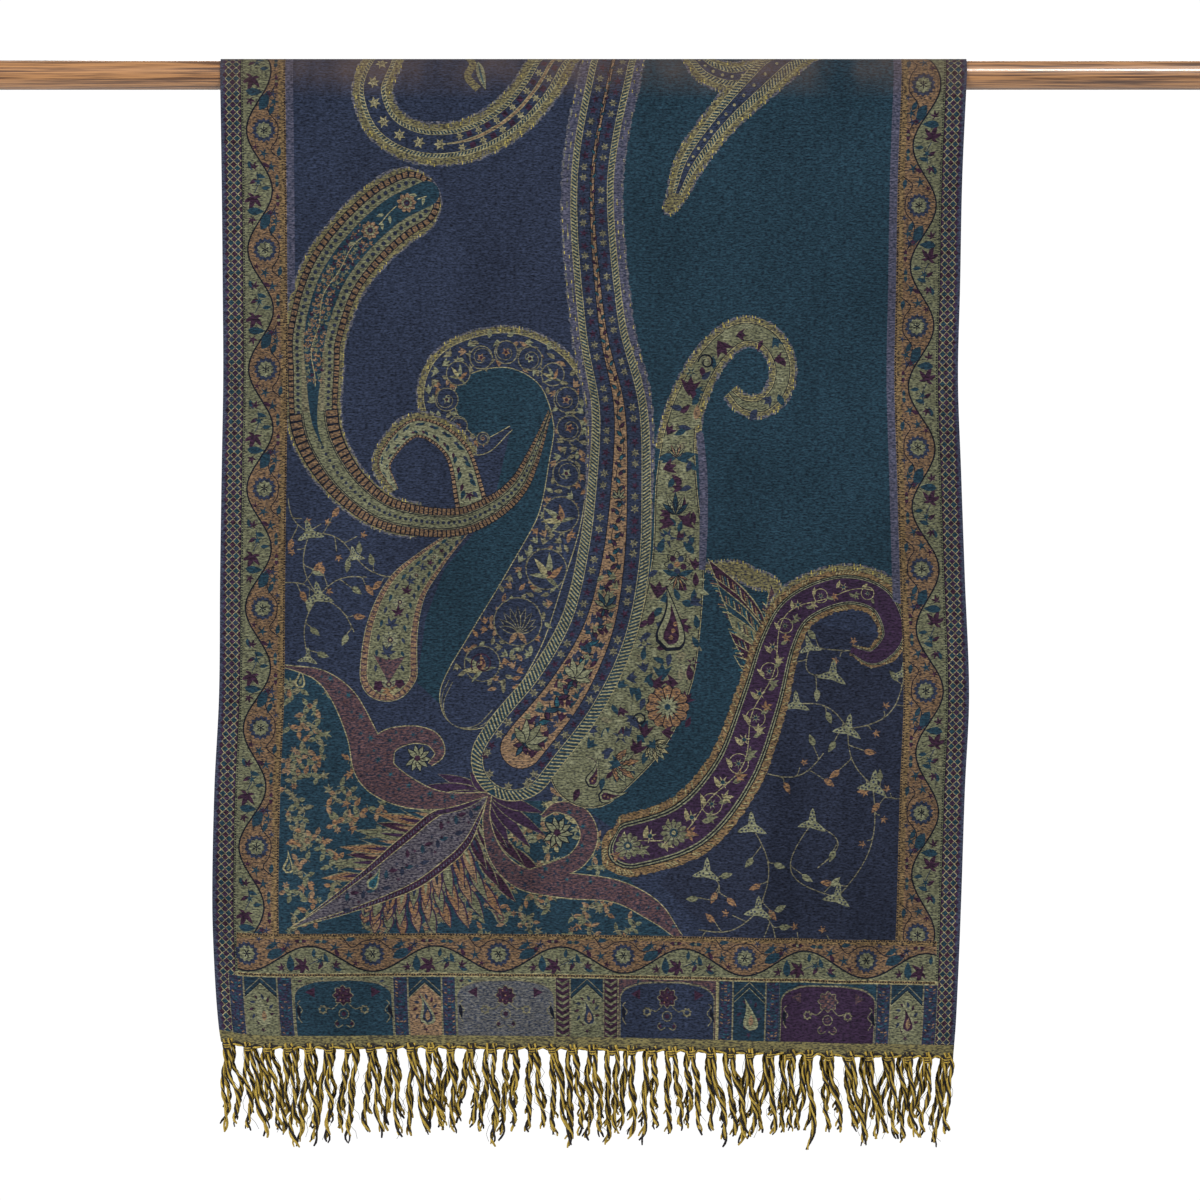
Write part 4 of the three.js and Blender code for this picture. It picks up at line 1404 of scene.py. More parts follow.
def undergrowth(region, pitch, yarns, seed):
    """Curling tendrils that fill a region on an uneven grid. Each curls tighter as it runs, with pairs
    of leaves off it and a blossom at its end."""
    region = np.asarray(region, dtype=float)
    low, high = region.min(axis=0), region.max(axis=0)
    number = seed
    for row, v in enumerate(np.arange(low[1], high[1], pitch)):
        for u in np.arange(low[0] + pitch * 0.5 * (row % 2), high[0], pitch):
            number += 1
            chance = scatter(number + np.arange(5) * 0.31)
            place = np.array([u, v]) + pitch * 0.25 * (2 * chance[:2] - 1)
            if not inside(region, place[None])[0]:
                continue
            t = np.linspace(0, 1, 9)
            heading = 6.3 * chance[2] + (2.6 + 1.6 * chance[3]) * t**1.4 * (1 if number % 2 else -1)
            steps = paired(np.sin(heading), np.cos(heading)) * pitch * 1.3 / 8
            path = place + np.cumsum(steps, axis=0)
            stem(path, 0.9, "dull_gold", 2.4)
            for k in (1, 4, 6):
                for side in (1, -1):
                    yarn = pick(yarns, scatter(number * 2.3 + k + side))
                    lay = on_cloth(*path[k], turn=heading[k] + 0.95 * side)
                    leaf(lay, pitch * (0.52 - 0.03 * k), pitch * 0.25, yarn, 0.2 * side)
            end = on_cloth(*path[-1], turn=heading[-1])
            yarn = pick(yarns, chance[4])
            if chance[4] < 0.45:
                open_flower(end, pitch * 0.2, yarn, "teal")
            else:
                lily(end, pitch * 0.38, yarn)


BELLS = [
    # across, down, size, turn
    (561, 564, 10, 2.6), (582, 590, 13, 2.2), (548, 618, 11.5, 2.4), (597, 641, 13, 2.2),
    (623, 694, 13.5, 2.2), (566, 730, 12.5, 2.3), (508, 734, 13, 2.4), (465, 778, 12.5, 2.3),
    (591, 799, 12.5, 2.2), (515, 813, 12.5, 2.3), (650, 588, 11, 2.3), (85, 458, 12, 2.6),
    (94, 518, 13, 2.5), (84, 577, 9, 2.3), (128, 480, 9, 2.6),
]


def spray(start, end, bow, seed):
    """A thin stem from one flower to the next, bowed by so many mm, with leaves on short stalks."""
    start, end = np.array(start, dtype=float), np.array(end, dtype=float)
    run = end - start
    side = np.array([run[1], -run[0]]) / np.hypot(*run)
    t = np.linspace(0, 1, 7)[:, None]
    path, _ = even_curve(start + run * t + side * bow * np.sin(math.pi * t), 2.2)
    draw_thread(path, 1.0, "dull_gold")
    along, left = headings(path)
    for k, share in enumerate((0.2, 0.42, 0.62, 0.85)):
        chance = scatter(seed * 3.7 + k + np.arange(3) * 0.4)
        if chance[0] < 0.2:
            continue
        at = int(share * (len(path) - 1))
        hand = 1 if (k + seed) % 2 else -1
        way = along[at] * 0.75 + left[at] * hand * (0.6 + 0.5 * chance[1])
        foot = path[at] + way * (7 + 9 * chance[1])
        bend = path[at] + along[at] * 4.5 + left[at] * hand * 1.2
        stem([path[at], bend, foot], 0.9, "dull_gold", 2.0)
        turn = math.atan2(way[0], way[1]) + 0.5 * (chance[2] - 0.5)
        lay = on_cloth(*foot, turn=turn)
        if chance[2] < 0.24:
            lily(on_cloth(*(foot + way * 4), turn=turn), 6.0, "orange")
        else:
            leaf(lay, 12.5, 6.2, ("olive", "pale_olive", "orange")[int(chance[2] * 7) % 3], 0.18 * hand)


def climbing_plants():
    """The plants on the navy and teal grounds between the great figures."""
    sprays = [
        # from, to, bow
        ((648, 560), (561, 564), 5), ((561, 564), (582, 590), -16), ((548, 618), (597, 641), 10),
        ((597, 641), (650, 590), -16), ((597, 641), (623, 694), -8), ((522, 684), (575, 664), -12),
        ((623, 694), (591, 799), 16), ((566, 730), (591, 799), -34), ((566, 730), (572, 772), 22),
        ((508, 734), (515, 813), 13), ((465, 778), (470, 806), 10), ((515, 813), (458, 832), 10),
        ((620, 838), (548, 838), 6), ((650, 706), (623, 694), 4), ((515, 813), (532, 838), 4),
        ((64, 425), (85, 458), -6), ((85, 458), (128, 480), 8), ((85, 458), (94, 518), -10),
        ((94, 518), (140, 500), 8), ((94, 518), (84, 575), -8), ((94, 518), (128, 552), 6),
        ((62, 505), (94, 518), 5), ((170, 500), (128, 480), 6),
    ]
    for number, (start, end, bow) in enumerate(sprays):
        spray(start, end, bow, number + 1)
    foot = [(62, 596), (92, 600), (120, 660), (150, 710), (240, 722), (180, 770), (110, 815), (64, 838)]
    undergrowth(foot, 20, ("olive", "tan", "orange", "olive", "dull_gold"), 3100)
    lower = [(120, 838), (180, 812), (240, 770), (252, 735), (290, 800), (380, 812), (420, 838)]
    undergrowth(lower, 17, ("olive", "tan", "orange", "olive", "dull_gold"), 4200)
    hollow = [(270, 718), (345, 718), (362, 752), (372, 785), (300, 782), (268, 750)]
    undergrowth(hollow, 19, ("olive", "tan", "pale_olive", "gold"), 5200)
    for u, v, size, turn in BELLS:
        bell(on_cloth(u, v, turn=turn - 2.3), size, "pale_olive", "navy")
    for u, v in ((75, 605), (69, 781)):
        boteh(on_cloth(u, v, turn=math.pi - 0.4), 21, "gold", "teal", "olive")
    boteh(on_cloth(272, 828, turn=math.pi + 0.5), 20, "dull_gold", "maroon", "olive")


def upper_corner():
    """The horn that comes over the fold at the upper right and the arch above it: hazy rims, twisted
    edges, and a navy core with gold dots."""
    arch = Band([(453, -8), (459, 10), (472, 20), (490, 24), (511, 18), (529, 5), (538, -8)],
                [16, 16, 16, 16, 16, 16, 16])
    horn = Band([(426, 155), (436, 137), (450, 103), (478, 65), (511, 30), (543, -2), (560, -20)],
                [5, 11, 16, 17, 21, 24, 26], round_start=True)
    for band in (arch, horn):
        hazy_rim(band)
    for band in (arch, horn):
        core = band.part(0.1 if band is horn else 0.0, 1.0, -6.5)
        twisted_edge(core, 1.0, 0.45, "teal", "gold")
        core.fill("navy", 0.45, inset=0.7)
        for s in core.steps(1.0, least=8.5, low=24 if band is horn else 0):
            fill(core.lay(s, 0)(DOT * 3.2), "gold")


def field_edges():
    """The plain lilac strips beside the field."""
    fill([(61, -4), (69.5, -4), (69.5, 227), (61, 235)], "lilac")
    fill([(641.5, -4), (651, -4), (651, 524), (641.5, 520)], "lilac")
    fill(Band([(459, 362), (462, 400), (462, 450), (460, 492)], [3.5, 4, 4, 3]).outline(), "lilac")


def woven_figures():
    """All the figures of half the cloth, in the order they lie over each other."""
    for figure in (grounds, climbing_plants, palm_leaf, hatched_scrolls, upper_corner, ringed_band,
                   small_hook, olive_band, great_boteh, small_boteh, sweeping_boteh, top_loop,
                   feathered_leaf, plum_band, field_edges):
        figure()
    side_border(False)
    side_border(True)
    end_border()
    limit = np.array([sheet_width, sheet_length])
    outlines = [outline + [0, figures_begin] for outline, _ in figures]
    outlines = [np.clip(np.round(outline / 0.02) * 0.02, 0, limit) for outline in outlines]
    return outlines, [yarn for _, yarn in figures]


def yarn_at(outlines, names, points):
    """The yarn of each point, by number: that of the last outline that winds round it."""
    order = np.argsort(points[:, 0])
    across = points[order, 0]
    yarn = np.zeros(len(points), dtype=int)
    for outline, name in zip(outlines, names):
        low, high = outline.min(axis=0), outline.max(axis=0)
        first, last = np.searchsorted(across, [low[0], high[0]])
        near = order[first:last]
        near = near[(points[near, 1] >= low[1]) & (points[near, 1] <= high[1])]
        yarn[near[inside(outline, points[near])]] = YARN_NAMES.index(name)
    return yarn


def triangulate(points, edges):
    """Triangles over the points that keep to the edges: the places, and three corners for each."""
    corners = [Vector(p) for p in points.tolist()]
    places, _, faces, *_ = delaunay_2d_cdt(corners, edges.tolist(), [], 0, 1e-4, False)
    return np.array([p[:] for p in places]), np.array(faces)


def face_edges(faces):
    """The edges of triangles, each once, with how many triangles share it and the rows that do."""
    pairs = np.sort(faces[:, [[0, 1], [1, 2], [2, 0]]].reshape(-1, 2), axis=1)
    edges, where, count = np.unique(pairs, axis=0, return_inverse=True, return_counts=True)
    rows = np.argsort(where.reshape(-1), kind="stable") // 3
    first = np.concatenate([[0], np.cumsum(count)[:-1]])
    return edges, count, rows[first], rows[first + count - 1]


def straighten(points, edges, slack=0.13):
    """Drops the points that stand within slack mm of the line between their two neighbours, where two
    edges meet, a few at a time so that no two neighbours go together."""
    for round_number in range(5):
        ends = edges.ravel()
        order = np.argsort(ends, kind="stable")
        other = edges[:, ::-1].ravel()[order]
        count = np.bincount(ends, minlength=len(points))
        first = np.cumsum(count) - count
        pair = np.flatnonzero(count == 2)
        one, two = other[first[pair]], other[first[pair] + 1]
        span = points[two] - points[one]
        away = points[pair] - points[one]
        off = np.abs(span[:, 0] * away[:, 1] - span[:, 1] * away[:, 0]) / np.maximum(np.hypot(*span.T), 1e-9)
        between = (away * span).sum(axis=1) > 0
        rank = np.full(len(points), -1.0)
        flat = (off < slack) & between & (one != two)
        rank[pair[flat]] = scatter(pair[flat] + round_number)
        go = flat & (rank[pair] > rank[one]) & (rank[pair] > rank[two])
        gone = np.zeros(len(points), dtype=bool)
        gone[pair[go]] = True
        edges = np.vstack([edges[~gone[edges].any(axis=1)], paired(one[go], two[go])])
    return edges


def split_long(points, edges, longest=8.0):
    """Parts every edge longer than so many mm into equal pieces."""
    for _ in range(8):
        far = np.hypot(*(points[edges[:, 1]] - points[edges[:, 0]]).T) > longest
        middle = len(points) + np.arange(far.sum())
        points = np.vstack([points, points[edges[far]].mean(axis=1)])
        edges = np.vstack([edges[~far], paired(edges[far, 0], middle),
                           paired(middle, edges[far, 1])])
    return points, edges


def sheet_rows():
    """Cross lines of the sheet that it needs to turn round the rod smoothly, down to just below it."""
    row_pitch = 2.7
    return np.arange(0, quarter_turn / mm + 6, row_pitch)


def flat_cloth():
    """The flat sheet as triangles whose edges follow every change of colour: the places, the corners
    and the yarn of each triangle."""
    outlines, names = woven_figures()
    starts = np.cumsum([0] + [len(outline) for outline in outlines])
    points = np.vstack(outlines)
    following = np.arange(len(points)) + 1
    following[starts[1:] - 1] = starts[:-1]
    edges = paired(np.arange(len(points)), following)
    places, faces = triangulate(points, edges[(points[edges[:, 0]] != points[edges[:, 1]]).any(axis=1)])
    yarns = yarn_at(outlines, names, places[faces].mean(axis=1))
    edges, count, one, other = face_edges(faces)
    kept = edges[(count == 1) | (yarns[one] != yarns[other])]
    places, kept = split_long(places, straighten(places, kept))
    used, kept = np.unique(kept, return_inverse=True)
    lines = places[used]
    rows = sheet_rows()
    across = np.arange(0, sheet_width + 1, sheet_width / 60).clip(0, sheet_width)
    for row in rows:
        lines = np.vstack([lines, paired(across, np.full_like(across, row))])
    laid = len(used) + np.arange(len(rows) * len(across)).reshape(len(rows), -1)
    strips = paired(laid[:, :-1].ravel(), laid[:, 1:].ravel())
    pitch = 9.0
    cell = np.floor(lines / pitch).astype(int)
    free = np.ones((int(sheet_width / pitch) + 2, int(sheet_length / pitch) + 2), dtype=bool)
    free[cell[:, 0], cell[:, 1]] = False
    middles = (np.argwhere(free) + 0.5) * pitch
    middles = middles[(middles < [sheet_width - 1, sheet_length - 1]).all(axis=1)]
    places, faces = triangulate(np.vstack([lines, middles]), np.vstack([kept.reshape(-1, 2), strips]))
    return places, faces, yarn_at(outlines, names, places[faces].mean(axis=1))


def lay_cloth(name, flat, front):
    """Half of the cloth as a closed shell: the figured outer face, a plain inner face with a coarse
    mesh, and the rim between them. The back half carries the same figures turned half round."""
    places, faces, yarns = flat
    edges, count, *_ = face_edges(faces)
    rim = edges[count == 1]
    used, rim = np.unique(rim, return_inverse=True)
    rim = rim.reshape(-1, 2)
    pitch_across, pitch_down = 8.5, 13
    columns, rows = np.meshgrid(np.arange(8, sheet_width - 4, pitch_across),
                                np.arange(5, sheet_length - 5, pitch_down))
    spare = paired(columns.ravel(), rows.ravel())
    low_places, low_faces = triangulate(np.vstack([places[used], spare]), rim)
    key = {tuple(p): i for i, p in enumerate(np.round(low_places, 3).tolist())}
    twin = np.array([key[tuple(p)] for p in np.round(places[used], 3).tolist()])

    def draped(points):
        across = points[:, 0] / sheet_width * 2 - 1
        return drape_with_normal(across if front else -across, points[:, 1] * mm, front)

    top, top_normals = draped(places)
    low, low_normals = draped(low_places)
    top += top_normals * shell_thickness / 2
    low -= low_normals * shell_thickness / 2

    def facing(corners, spots, normals):
        """Turns triangles so that they face along the normals."""
        a, b, c = (spots[corners[:, k]] for k in range(3))
        wrong = (np.cross(b - a, c - a) * normals[corners[:, 0]]).sum(axis=1) < 0
        corners[wrong] = corners[wrong][:, ::-1]
        return corners

    faces = facing(faces.copy(), top, top_normals)
    low_faces = facing(low_faces, low, -low_normals)
    a, b = used[rim[:, 0]], used[rim[:, 1]]
    c, d = twin[rim[:, 0]] + len(top), twin[rim[:, 1]] + len(top)
    sides = np.vstack([paired(a, b, d), paired(a, d, c)])
    spots = np.vstack([top, low])
    middle = spots[sides].mean(axis=1)
    normals = np.cross(spots[sides[:, 1]] - spots[sides[:, 0]], spots[sides[:, 2]] - spots[sides[:, 0]])
    inner = np.array([0, middle[:, 1].mean(), middle[:, 2].mean()])
    wrong = (normals * (middle - inner)).sum(axis=1) < 0
    sides[wrong] = sides[wrong][:, ::-1]
    corners = np.vstack([faces, low_faces + len(top), sides])
    mesh = bpy.data.meshes.new(name)
    mesh.from_pydata(spots.tolist(), [], corners.tolist())
    mesh.update()
    lining = YARN_NAMES.index("navy")
    yarn = np.concatenate([yarns, np.full(len(low_faces) + len(sides), lining)])
    for layer, place in (("weft", 0), ("warp", 1)):
        table = np.array([np.append(linear(YARNS[k][place]), YARNS[k][2]) for k in YARN_NAMES])
        colour = mesh.attributes.new(layer, "FLOAT_COLOR", "FACE")
        colour.data.foreach_set("color", table[yarn].astype(np.float32).ravel())
    flat_spots = np.vstack([places, low_places]) * mm
    uv = mesh.uv_layers.new(name="cloth")
    uv.data.foreach_set("uv", flat_spots[corners.ravel()].astype(np.float32).ravel())
    mesh.polygons.foreach_set("use_smooth", np.ones(len(corners), dtype=bool))
    round_normals = np.vstack([top_normals, -low_normals])[corners.ravel()]
    flat_normals = np.repeat(np.cross(spots[sides[:, 1]] - spots[sides[:, 0]],
                                      spots[sides[:, 2]] - spots[sides[:, 0]]), 3, axis=0)
    flat_normals /= np.maximum(np.linalg.norm(flat_normals, axis=1, keepdims=True), 1e-12)
    round_normals[-len(flat_normals):] = flat_normals
    mesh.normals_split_custom_set(round_normals.tolist())
    piece = bpy.data.objects.new(name, mesh)
    bpy.context.scene.collection.objects.link(piece)
    return piece


def tubes(paths, radii, sides=6, reference=(0, 1, 0)):
    """Closed round tubes along paths, given as tubes by steps by three, with a radius at each step.
    Returns the places, the quads of the walls and the caps."""
    along = np.gradient(paths, axis=1)
    along /= np.maximum(np.linalg.norm(along, axis=2, keepdims=True), 1e-12)
    across = np.cross(along, np.asarray(reference, dtype=float))
    across /= np.maximum(np.linalg.norm(across, axis=2, keepdims=True), 1e-12)
    upward = np.cross(across, along)
    turn = np.arange(sides) * 2 * math.pi / sides
    ring = np.cos(turn)[:, None] * across[:, :, None] + np.sin(turn)[:, None] * upward[:, :, None]
    spots = paths[:, :, None] + ring * np.broadcast_to(radii, paths.shape[:2])[:, :, None, None]
    number, steps = paths.shape[:2]
    index = np.arange(number * steps * sides).reshape(number, steps, sides)
    beside = np.roll(index, -1, axis=2)
    quads = np.stack([index[:, :-1], index[:, 1:], beside[:, 1:], beside[:, :-1]], axis=-1).reshape(-1, 4)
    caps = np.vstack([index[:, 0], index[:, -1, ::-1]])
    return spots.reshape(-1, 3), quads, caps


def add_piece(name, parts, materials):
    """One object from several sets of tubes or faces, each with its own material's number. A part is
    its places, its faces and its flat faces."""
    places, faces, numbers, smooth = [], [], [], []
    start = 0
    for (spots, walls, caps), number in parts:
        places.append(spots)
        faces += (walls + start).tolist() + (caps + start).tolist()
        numbers.append(np.full(len(walls) + len(caps), number))
        smooth.append(np.arange(len(walls) + len(caps)) < len(walls))
        start += len(spots)
    mesh = bpy.data.meshes.new(name)
    mesh.from_pydata(np.vstack(places).tolist(), [], faces)
    mesh.polygons.foreach_set("material_index", np.concatenate(numbers).astype(np.int32))
    mesh.polygons.foreach_set("use_smooth", np.concatenate(smooth))
    for material in materials:
        mesh.materials.append(material)
    mesh.update()
    piece = bpy.data.objects.new(name, mesh)
    bpy.context.scene.collection.objects.link(piece)
    return piece


def tassel_roots(front):
    """The foot of the heading at the middle of each tassel, and the side the cloth faces."""
    place = np.arange(tassel_count) / (tassel_count - 1) * 2 - 1
    across = place * (cloth_width / 2 - tassel_inset) / (cloth_width / 2)
    return drape(across, np.full_like(across, half_length + seam_gap + heading_depth), front)


def leg_paths(front, steps):
    """The middle line of every tassel leg, two to a tassel: each hangs from its root with its tassel's
    lean, a lean of its own and a slight sway."""
    tassel = np.repeat(np.arange(tassel_count), 2)
    sign = np.tile([-1, 1], tassel_count)
    seed = tassel * 2 + np.tile([0, 1], tassel_count)
    root = tassel_roots(front)[tassel]
    length = leg_length - (0 if front else 12 * mm) + leg_length_spread * (2 * scatter(seed + 3) - 1)
    lean = 7 * np.sin(0.83 * tassel + 0.6) + 3 * np.sin(2.1 * tassel) + sign * (2.5 + 3 * scatter(seed + 11))
    sway = 2.5 * (2 * scatter(seed + 23) - 1)
    outward = -1 if front else 1
    layer = (sign + 1) * outward * leg_layer
    t = np.linspace(0, 1, steps)[:, None]
    x = root[:, 0] + sign * leg_root_apart + (lean * t**1.2 + sway * np.sin(2 * math.pi * t)) * mm
    y = root[:, 1] + layer * np.minimum(2.2 * t, 1)
    z = root[:, 2] + leg_root_above - (length + leg_root_above) * t
    return np.stack([x, y, z], axis=-1).transpose(1, 0, 2)


def fringe(name, front, weave_material, yarns):
    """The heading and its tassels: each leg is two gold and two black cords wound tightly together
    with a loose hair beside them, under a wrapped knot; arched yarns join the knots."""
    steps = 30
    legs = leg_paths(front, steps)
    t = np.linspace(0, 1, steps)
    parts = []
    number = np.arange(len(legs))[:, None]
    loose = np.maximum(t - 0.86, 0) / 0.14
    kink = np.sin(t * (9 + 6 * scatter(number + 2)) + 6 * scatter(number)) * np.minimum(3 * t, 1)
    legs = legs + np.stack([1.9 * kink, 0.8 * np.roll(kink, 3, axis=1), 0 * kink], axis=-1) * mm
    for strand in range(4):
        thick = (1.25, 1.1, 0.95, 0.85)[strand] * mm
        phase = strand * 1.75 + 6.3 * scatter(number) + (15 + 10 * scatter(number + 9)) * t
        spread = (1.2 + 0.35 * np.sin(7 * t + number + strand)) * mm
        spread = spread + loose * (0.2 + 2.2 * scatter(number * 4 + strand)) * mm
        wind = np.stack([np.cos(phase) * spread, np.sin(phase) * spread, 0 * phase], axis=-1)
        end = 1 - 0.1 * scatter(number * 9 + strand)
        path = legs + wind
        path[:, :, 2] = legs[:, :1, 2] + (legs[:, :, 2] - legs[:, :1, 2]) * end
        radius = thick * (1 + 0.12 * np.sin(23 * t + number)) * np.minimum(1, 14 * (1.05 - t))
        parts.append((tubes(path, radius, 6), strand % 2))
    hair_steps = 14
    fine = leg_paths(front, hair_steps)
    t = np.linspace(0, 1, hair_steps)
    seed = number * 17
    curl = (np.sin(t * (9 + 8 * scatter(seed)) + 6 * scatter(seed + 1))
            * (0.8 + 3.4 * t) * (0.6 + scatter(seed + 2)))
    wave = np.cos(t * (7 + 8 * scatter(seed + 4)) + 6 * scatter(seed + 5)) * (0.5 + 1.4 * t)
    path = fine + np.stack([curl * 1.3, wave, 0 * curl], axis=-1) * mm
    path[:, :, 2] = fine[:, :1, 2] + (fine[:, :, 2] - fine[:, :1, 2]) * (0.7 + 0.27 * scatter(seed + 7))
    parts.append((tubes(path, np.full(hair_steps, 0.25 * mm), 3), 1))
    roots = tassel_roots(front)
    coil_steps = 27
    t = np.linspace(0, 1, coil_steps)
    for wrap in range(2):
        turn = 2 * math.pi * 2.3 * t + wrap * math.pi + np.arange(tassel_count)[:, None]
        ring = np.stack([(3.9 - 0.9 * t) * np.cos(turn), 2.9 * np.sin(turn),
                         0.6 - 5.0 * t + 1.3 * np.sin(turn + 0.6)], axis=-1)
        parts.append((tubes(roots[:, None] + ring * mm, np.full(coil_steps, 0.95 * mm), 6, (0, 0, 1)), wrap))
    arch_steps = 15
    t = np.linspace(0, 1, arch_steps)[None, :, None]
    for strand in range(4):
        outward = (-1 if front else 1) * (0.9 - 1.8 * (strand % 2)) * mm
        arch = roots[:-1, None] * (1 - t) + roots[1:, None] * t
        rise = (1 - np.abs(2 * t[..., 0] - 1) ** 3.0) * (5.6 + (strand // 2) * 1.3)
        lift = rise - 5.6 + 0.7 * np.sin(9 * t[..., 0] + strand * 1.7 + np.arange(tassel_count - 1)[:, None])
        away = outward / mm + 0.7 * np.cos(8 * t[..., 0] + strand) + 0 * lift
        arch = arch + np.stack([0 * lift, away, lift], axis=-1) * mm
        parts.append((tubes(arch, np.full(arch_steps, 0.95 * mm), 6), (strand + strand // 2) % 2))
    return add_piece(name, parts + [(heading_strip(front), 2)], [*yarns, weave_material])


def heading_strip(front):
    """The narrow ribbed strip below the cloth: a closed shell that laps the cloth by a hair."""
    columns, rows = 240, 5
    across = np.linspace(-1, 1, columns)
    down = half_length - 0.4 * mm + (heading_depth + 1.2 * mm) * np.linspace(0, 1, rows)
    grid_across, grid_down = np.meshgrid(across, down)
    middle, normal = drape_with_normal(grid_across, grid_down, front)
    thick = (0.75 + 0.12 * np.sin(np.arange(rows) * 2.2))[:, None, None] * mm
    outer, inner = middle + normal * thick, middle - normal * thick
    index = np.arange(rows * columns).reshape(rows, columns)
    a, b, c, d = index[:-1, :-1], index[1:, :-1], index[1:, 1:], index[:-1, 1:]
    face = np.stack([a, b, c, d], axis=-1).reshape(-1, 4)
    rim = np.concatenate([index[0, :-1], index[:-1, -1], index[-1, :0:-1], index[:0:-1, 0]])
    after = np.roll(rim, -1)
    far = rows * columns
    sides = np.stack([after, rim, rim + far, after + far], axis=-1)
    walls = np.vstack([face, face[:, ::-1] + far, sides[:, ::-1]])
    if not front:
        walls = walls[:, ::-1]
    return np.vstack([outer.reshape(-1, 3), inner.reshape(-1, 3)]), walls, np.zeros((0, 4), dtype=int)


def wire(tree, kind, inputs=None, **settings):
    """Adds a node. Settings are its own properties; inputs its sockets, each a value or an output."""
    node = tree.nodes.new(kind)
    for name, value in settings.items():
        setattr(node, name, value)
    for socket, value in (inputs or {}).items():
        if isinstance(value, bpy.types.NodeSocket):
            tree.links.new(value, node.inputs[socket])
        else:
            node.inputs[socket].default_value = value
    return node


def new_material(name, **constants):
    """A material whose constant sockets are set on the shader itself."""
    material = bpy.data.materials.new(name)
    material.use_nodes = True
    shader = material.node_tree.nodes["Principled BSDF"]
    for socket, value in constants.items():
        shader.inputs[socket.replace("_", " ")].default_value = value
    return material, material.node_tree, shader


def screen(red, green, blue):
    """A shader colour from screen values of 255."""
    return (*linear((red, green, blue)).tolist(), 1.0)


def math_node(tree, operation, first, second=0.0, third=0.0, clamp=False):
    inputs = {0: first, 1: second, 2: third}
    return wire(tree, "ShaderNodeMath", inputs, operation=operation, use_clamp=clamp).outputs[0]


def noise(tree, vector, scale, detail=1.0):
    """Noise of a vector that is first stretched by three factors."""
    placed = wire(tree, "ShaderNodeMapping", {"Vector": vector, "Scale": scale})
    inputs = {"Vector": placed.outputs[0], "Scale": 1.0, "Detail": detail, "Roughness": 0.55}
    return wire(tree, "ShaderNodeTexNoise", inputs).outputs["Fac"]


def mixed(tree, share, first, second, blend="MIX"):
    """A mix of two colours."""
    inputs = {0: share, 6: first, 7: second}
    return wire(tree, "ShaderNodeMix", inputs, data_type="RGBA", blend_type=blend).outputs[2]


def weave_material():
    """The woven cloth. Each figure shows its own thread with the second one through it in short
    flecks across the cloth; slow clouds of uneven tone and a fine twill lie over both. Over the rod,
    brown patches are painted in: a painted tint of the rod seen through the sheer cloth, and partly wear."""
    material, tree, shader = new_material("shawl_weave", Roughness=0.9, Specular_IOR_Level=0.06)
    place = wire(tree, "ShaderNodeUVMap", uv_map="cloth").outputs["UV"]
    weft = wire(tree, "ShaderNodeAttribute", attribute_name="weft")
    warp = wire(tree, "ShaderNodeAttribute", attribute_name="warp")
    flecks = noise(tree, place, (330, 760, 1))
    share = math_node(tree, "MULTIPLY_ADD", flecks, 3.2, -1.6)
    share = math_node(tree, "ADD", share, weft.outputs["Alpha"], clamp=True)
    colour = mixed(tree, share, weft.outputs["Color"], warp.outputs["Color"])
    clouds = noise(tree, place, (11, 7, 1), 4.0)
    shade = math_node(tree, "MULTIPLY_ADD", clouds, 0.9, 0.58)
    picks = noise(tree, place, (120, 480, 1), 1.0)
    shade = math_node(tree, "MULTIPLY", shade, math_node(tree, "MULTIPLY_ADD", picks, 1.5, 0.25))
    scaled = wire(tree, "ShaderNodeVectorMath", {0: colour, "Scale": shade}, operation="SCALE").outputs[0]
    # Over the rod, brown patches are mixed in: a painted tint of the rod seen through the sheer cloth, and
    # partly wear
    down = wire(tree, "ShaderNodeSeparateXYZ", {0: place}).outputs["Y"]
    near_rod = math_node(tree, "MULTIPLY_ADD", down, -40.0, 1.9, clamp=True)
    patches = math_node(tree, "MULTIPLY_ADD", clouds, 1.6, -0.52, clamp=True)
    rod_tint_and_wear = math_node(tree, "MULTIPLY", near_rod, patches)
    tree.links.new(mixed(tree, rod_tint_and_wear, scaled, screen(104, 84, 70)), shader.inputs["Base Color"])
    height = math_node(tree, "MULTIPLY_ADD", flecks, 0.8, math_node(tree, "MULTIPLY", picks, 0.5))
    wrinkles = noise(tree, place, (26, 15, 1), 3.0)
    soft = wire(tree, "ShaderNodeBump", {"Strength": 0.6, "Distance": 0.010, "Height": wrinkles}).outputs[0]
    bump = wire(tree, "ShaderNodeBump", {"Strength": 0.5, "Distance": 0.0006, "Height": height,
                                         "Normal": soft})
    tree.links.new(bump.outputs[0], shader.inputs["Normal"])
    return material


def streaks_group():
    """The streaks that the heading, the yarns and the wood share: noise drawn out by three factors is
    sharpened and lifted into a share of the second shade, and is itself a height."""
    group = bpy.data.node_groups.new("streaks", "ShaderNodeTree")
    for name, kind in (("Place", "Vector"), ("Stretch", "Vector"), ("Detail", "Float"),
                       ("Contrast", "Float"), ("Lift", "Float"), ("First", "Color"), ("Second", "Color")):
        group.interface.new_socket(name, in_out="INPUT", socket_type="NodeSocket" + kind)
    for name, kind in (("Shade", "Color"), ("Height", "Float")):
        group.interface.new_socket(name, in_out="OUTPUT", socket_type="NodeSocket" + kind)
    given = group.nodes.new("NodeGroupInput").outputs
    height = noise(group, given["Place"], given["Stretch"], given["Detail"])
    share = math_node(group, "MULTIPLY_ADD", height, given["Contrast"], given["Lift"], clamp=True)
    shade = mixed(group, share, given["First"], given["Second"])
    wire(group, "NodeGroupOutput", {"Shade": shade, "Height": height})
    return group


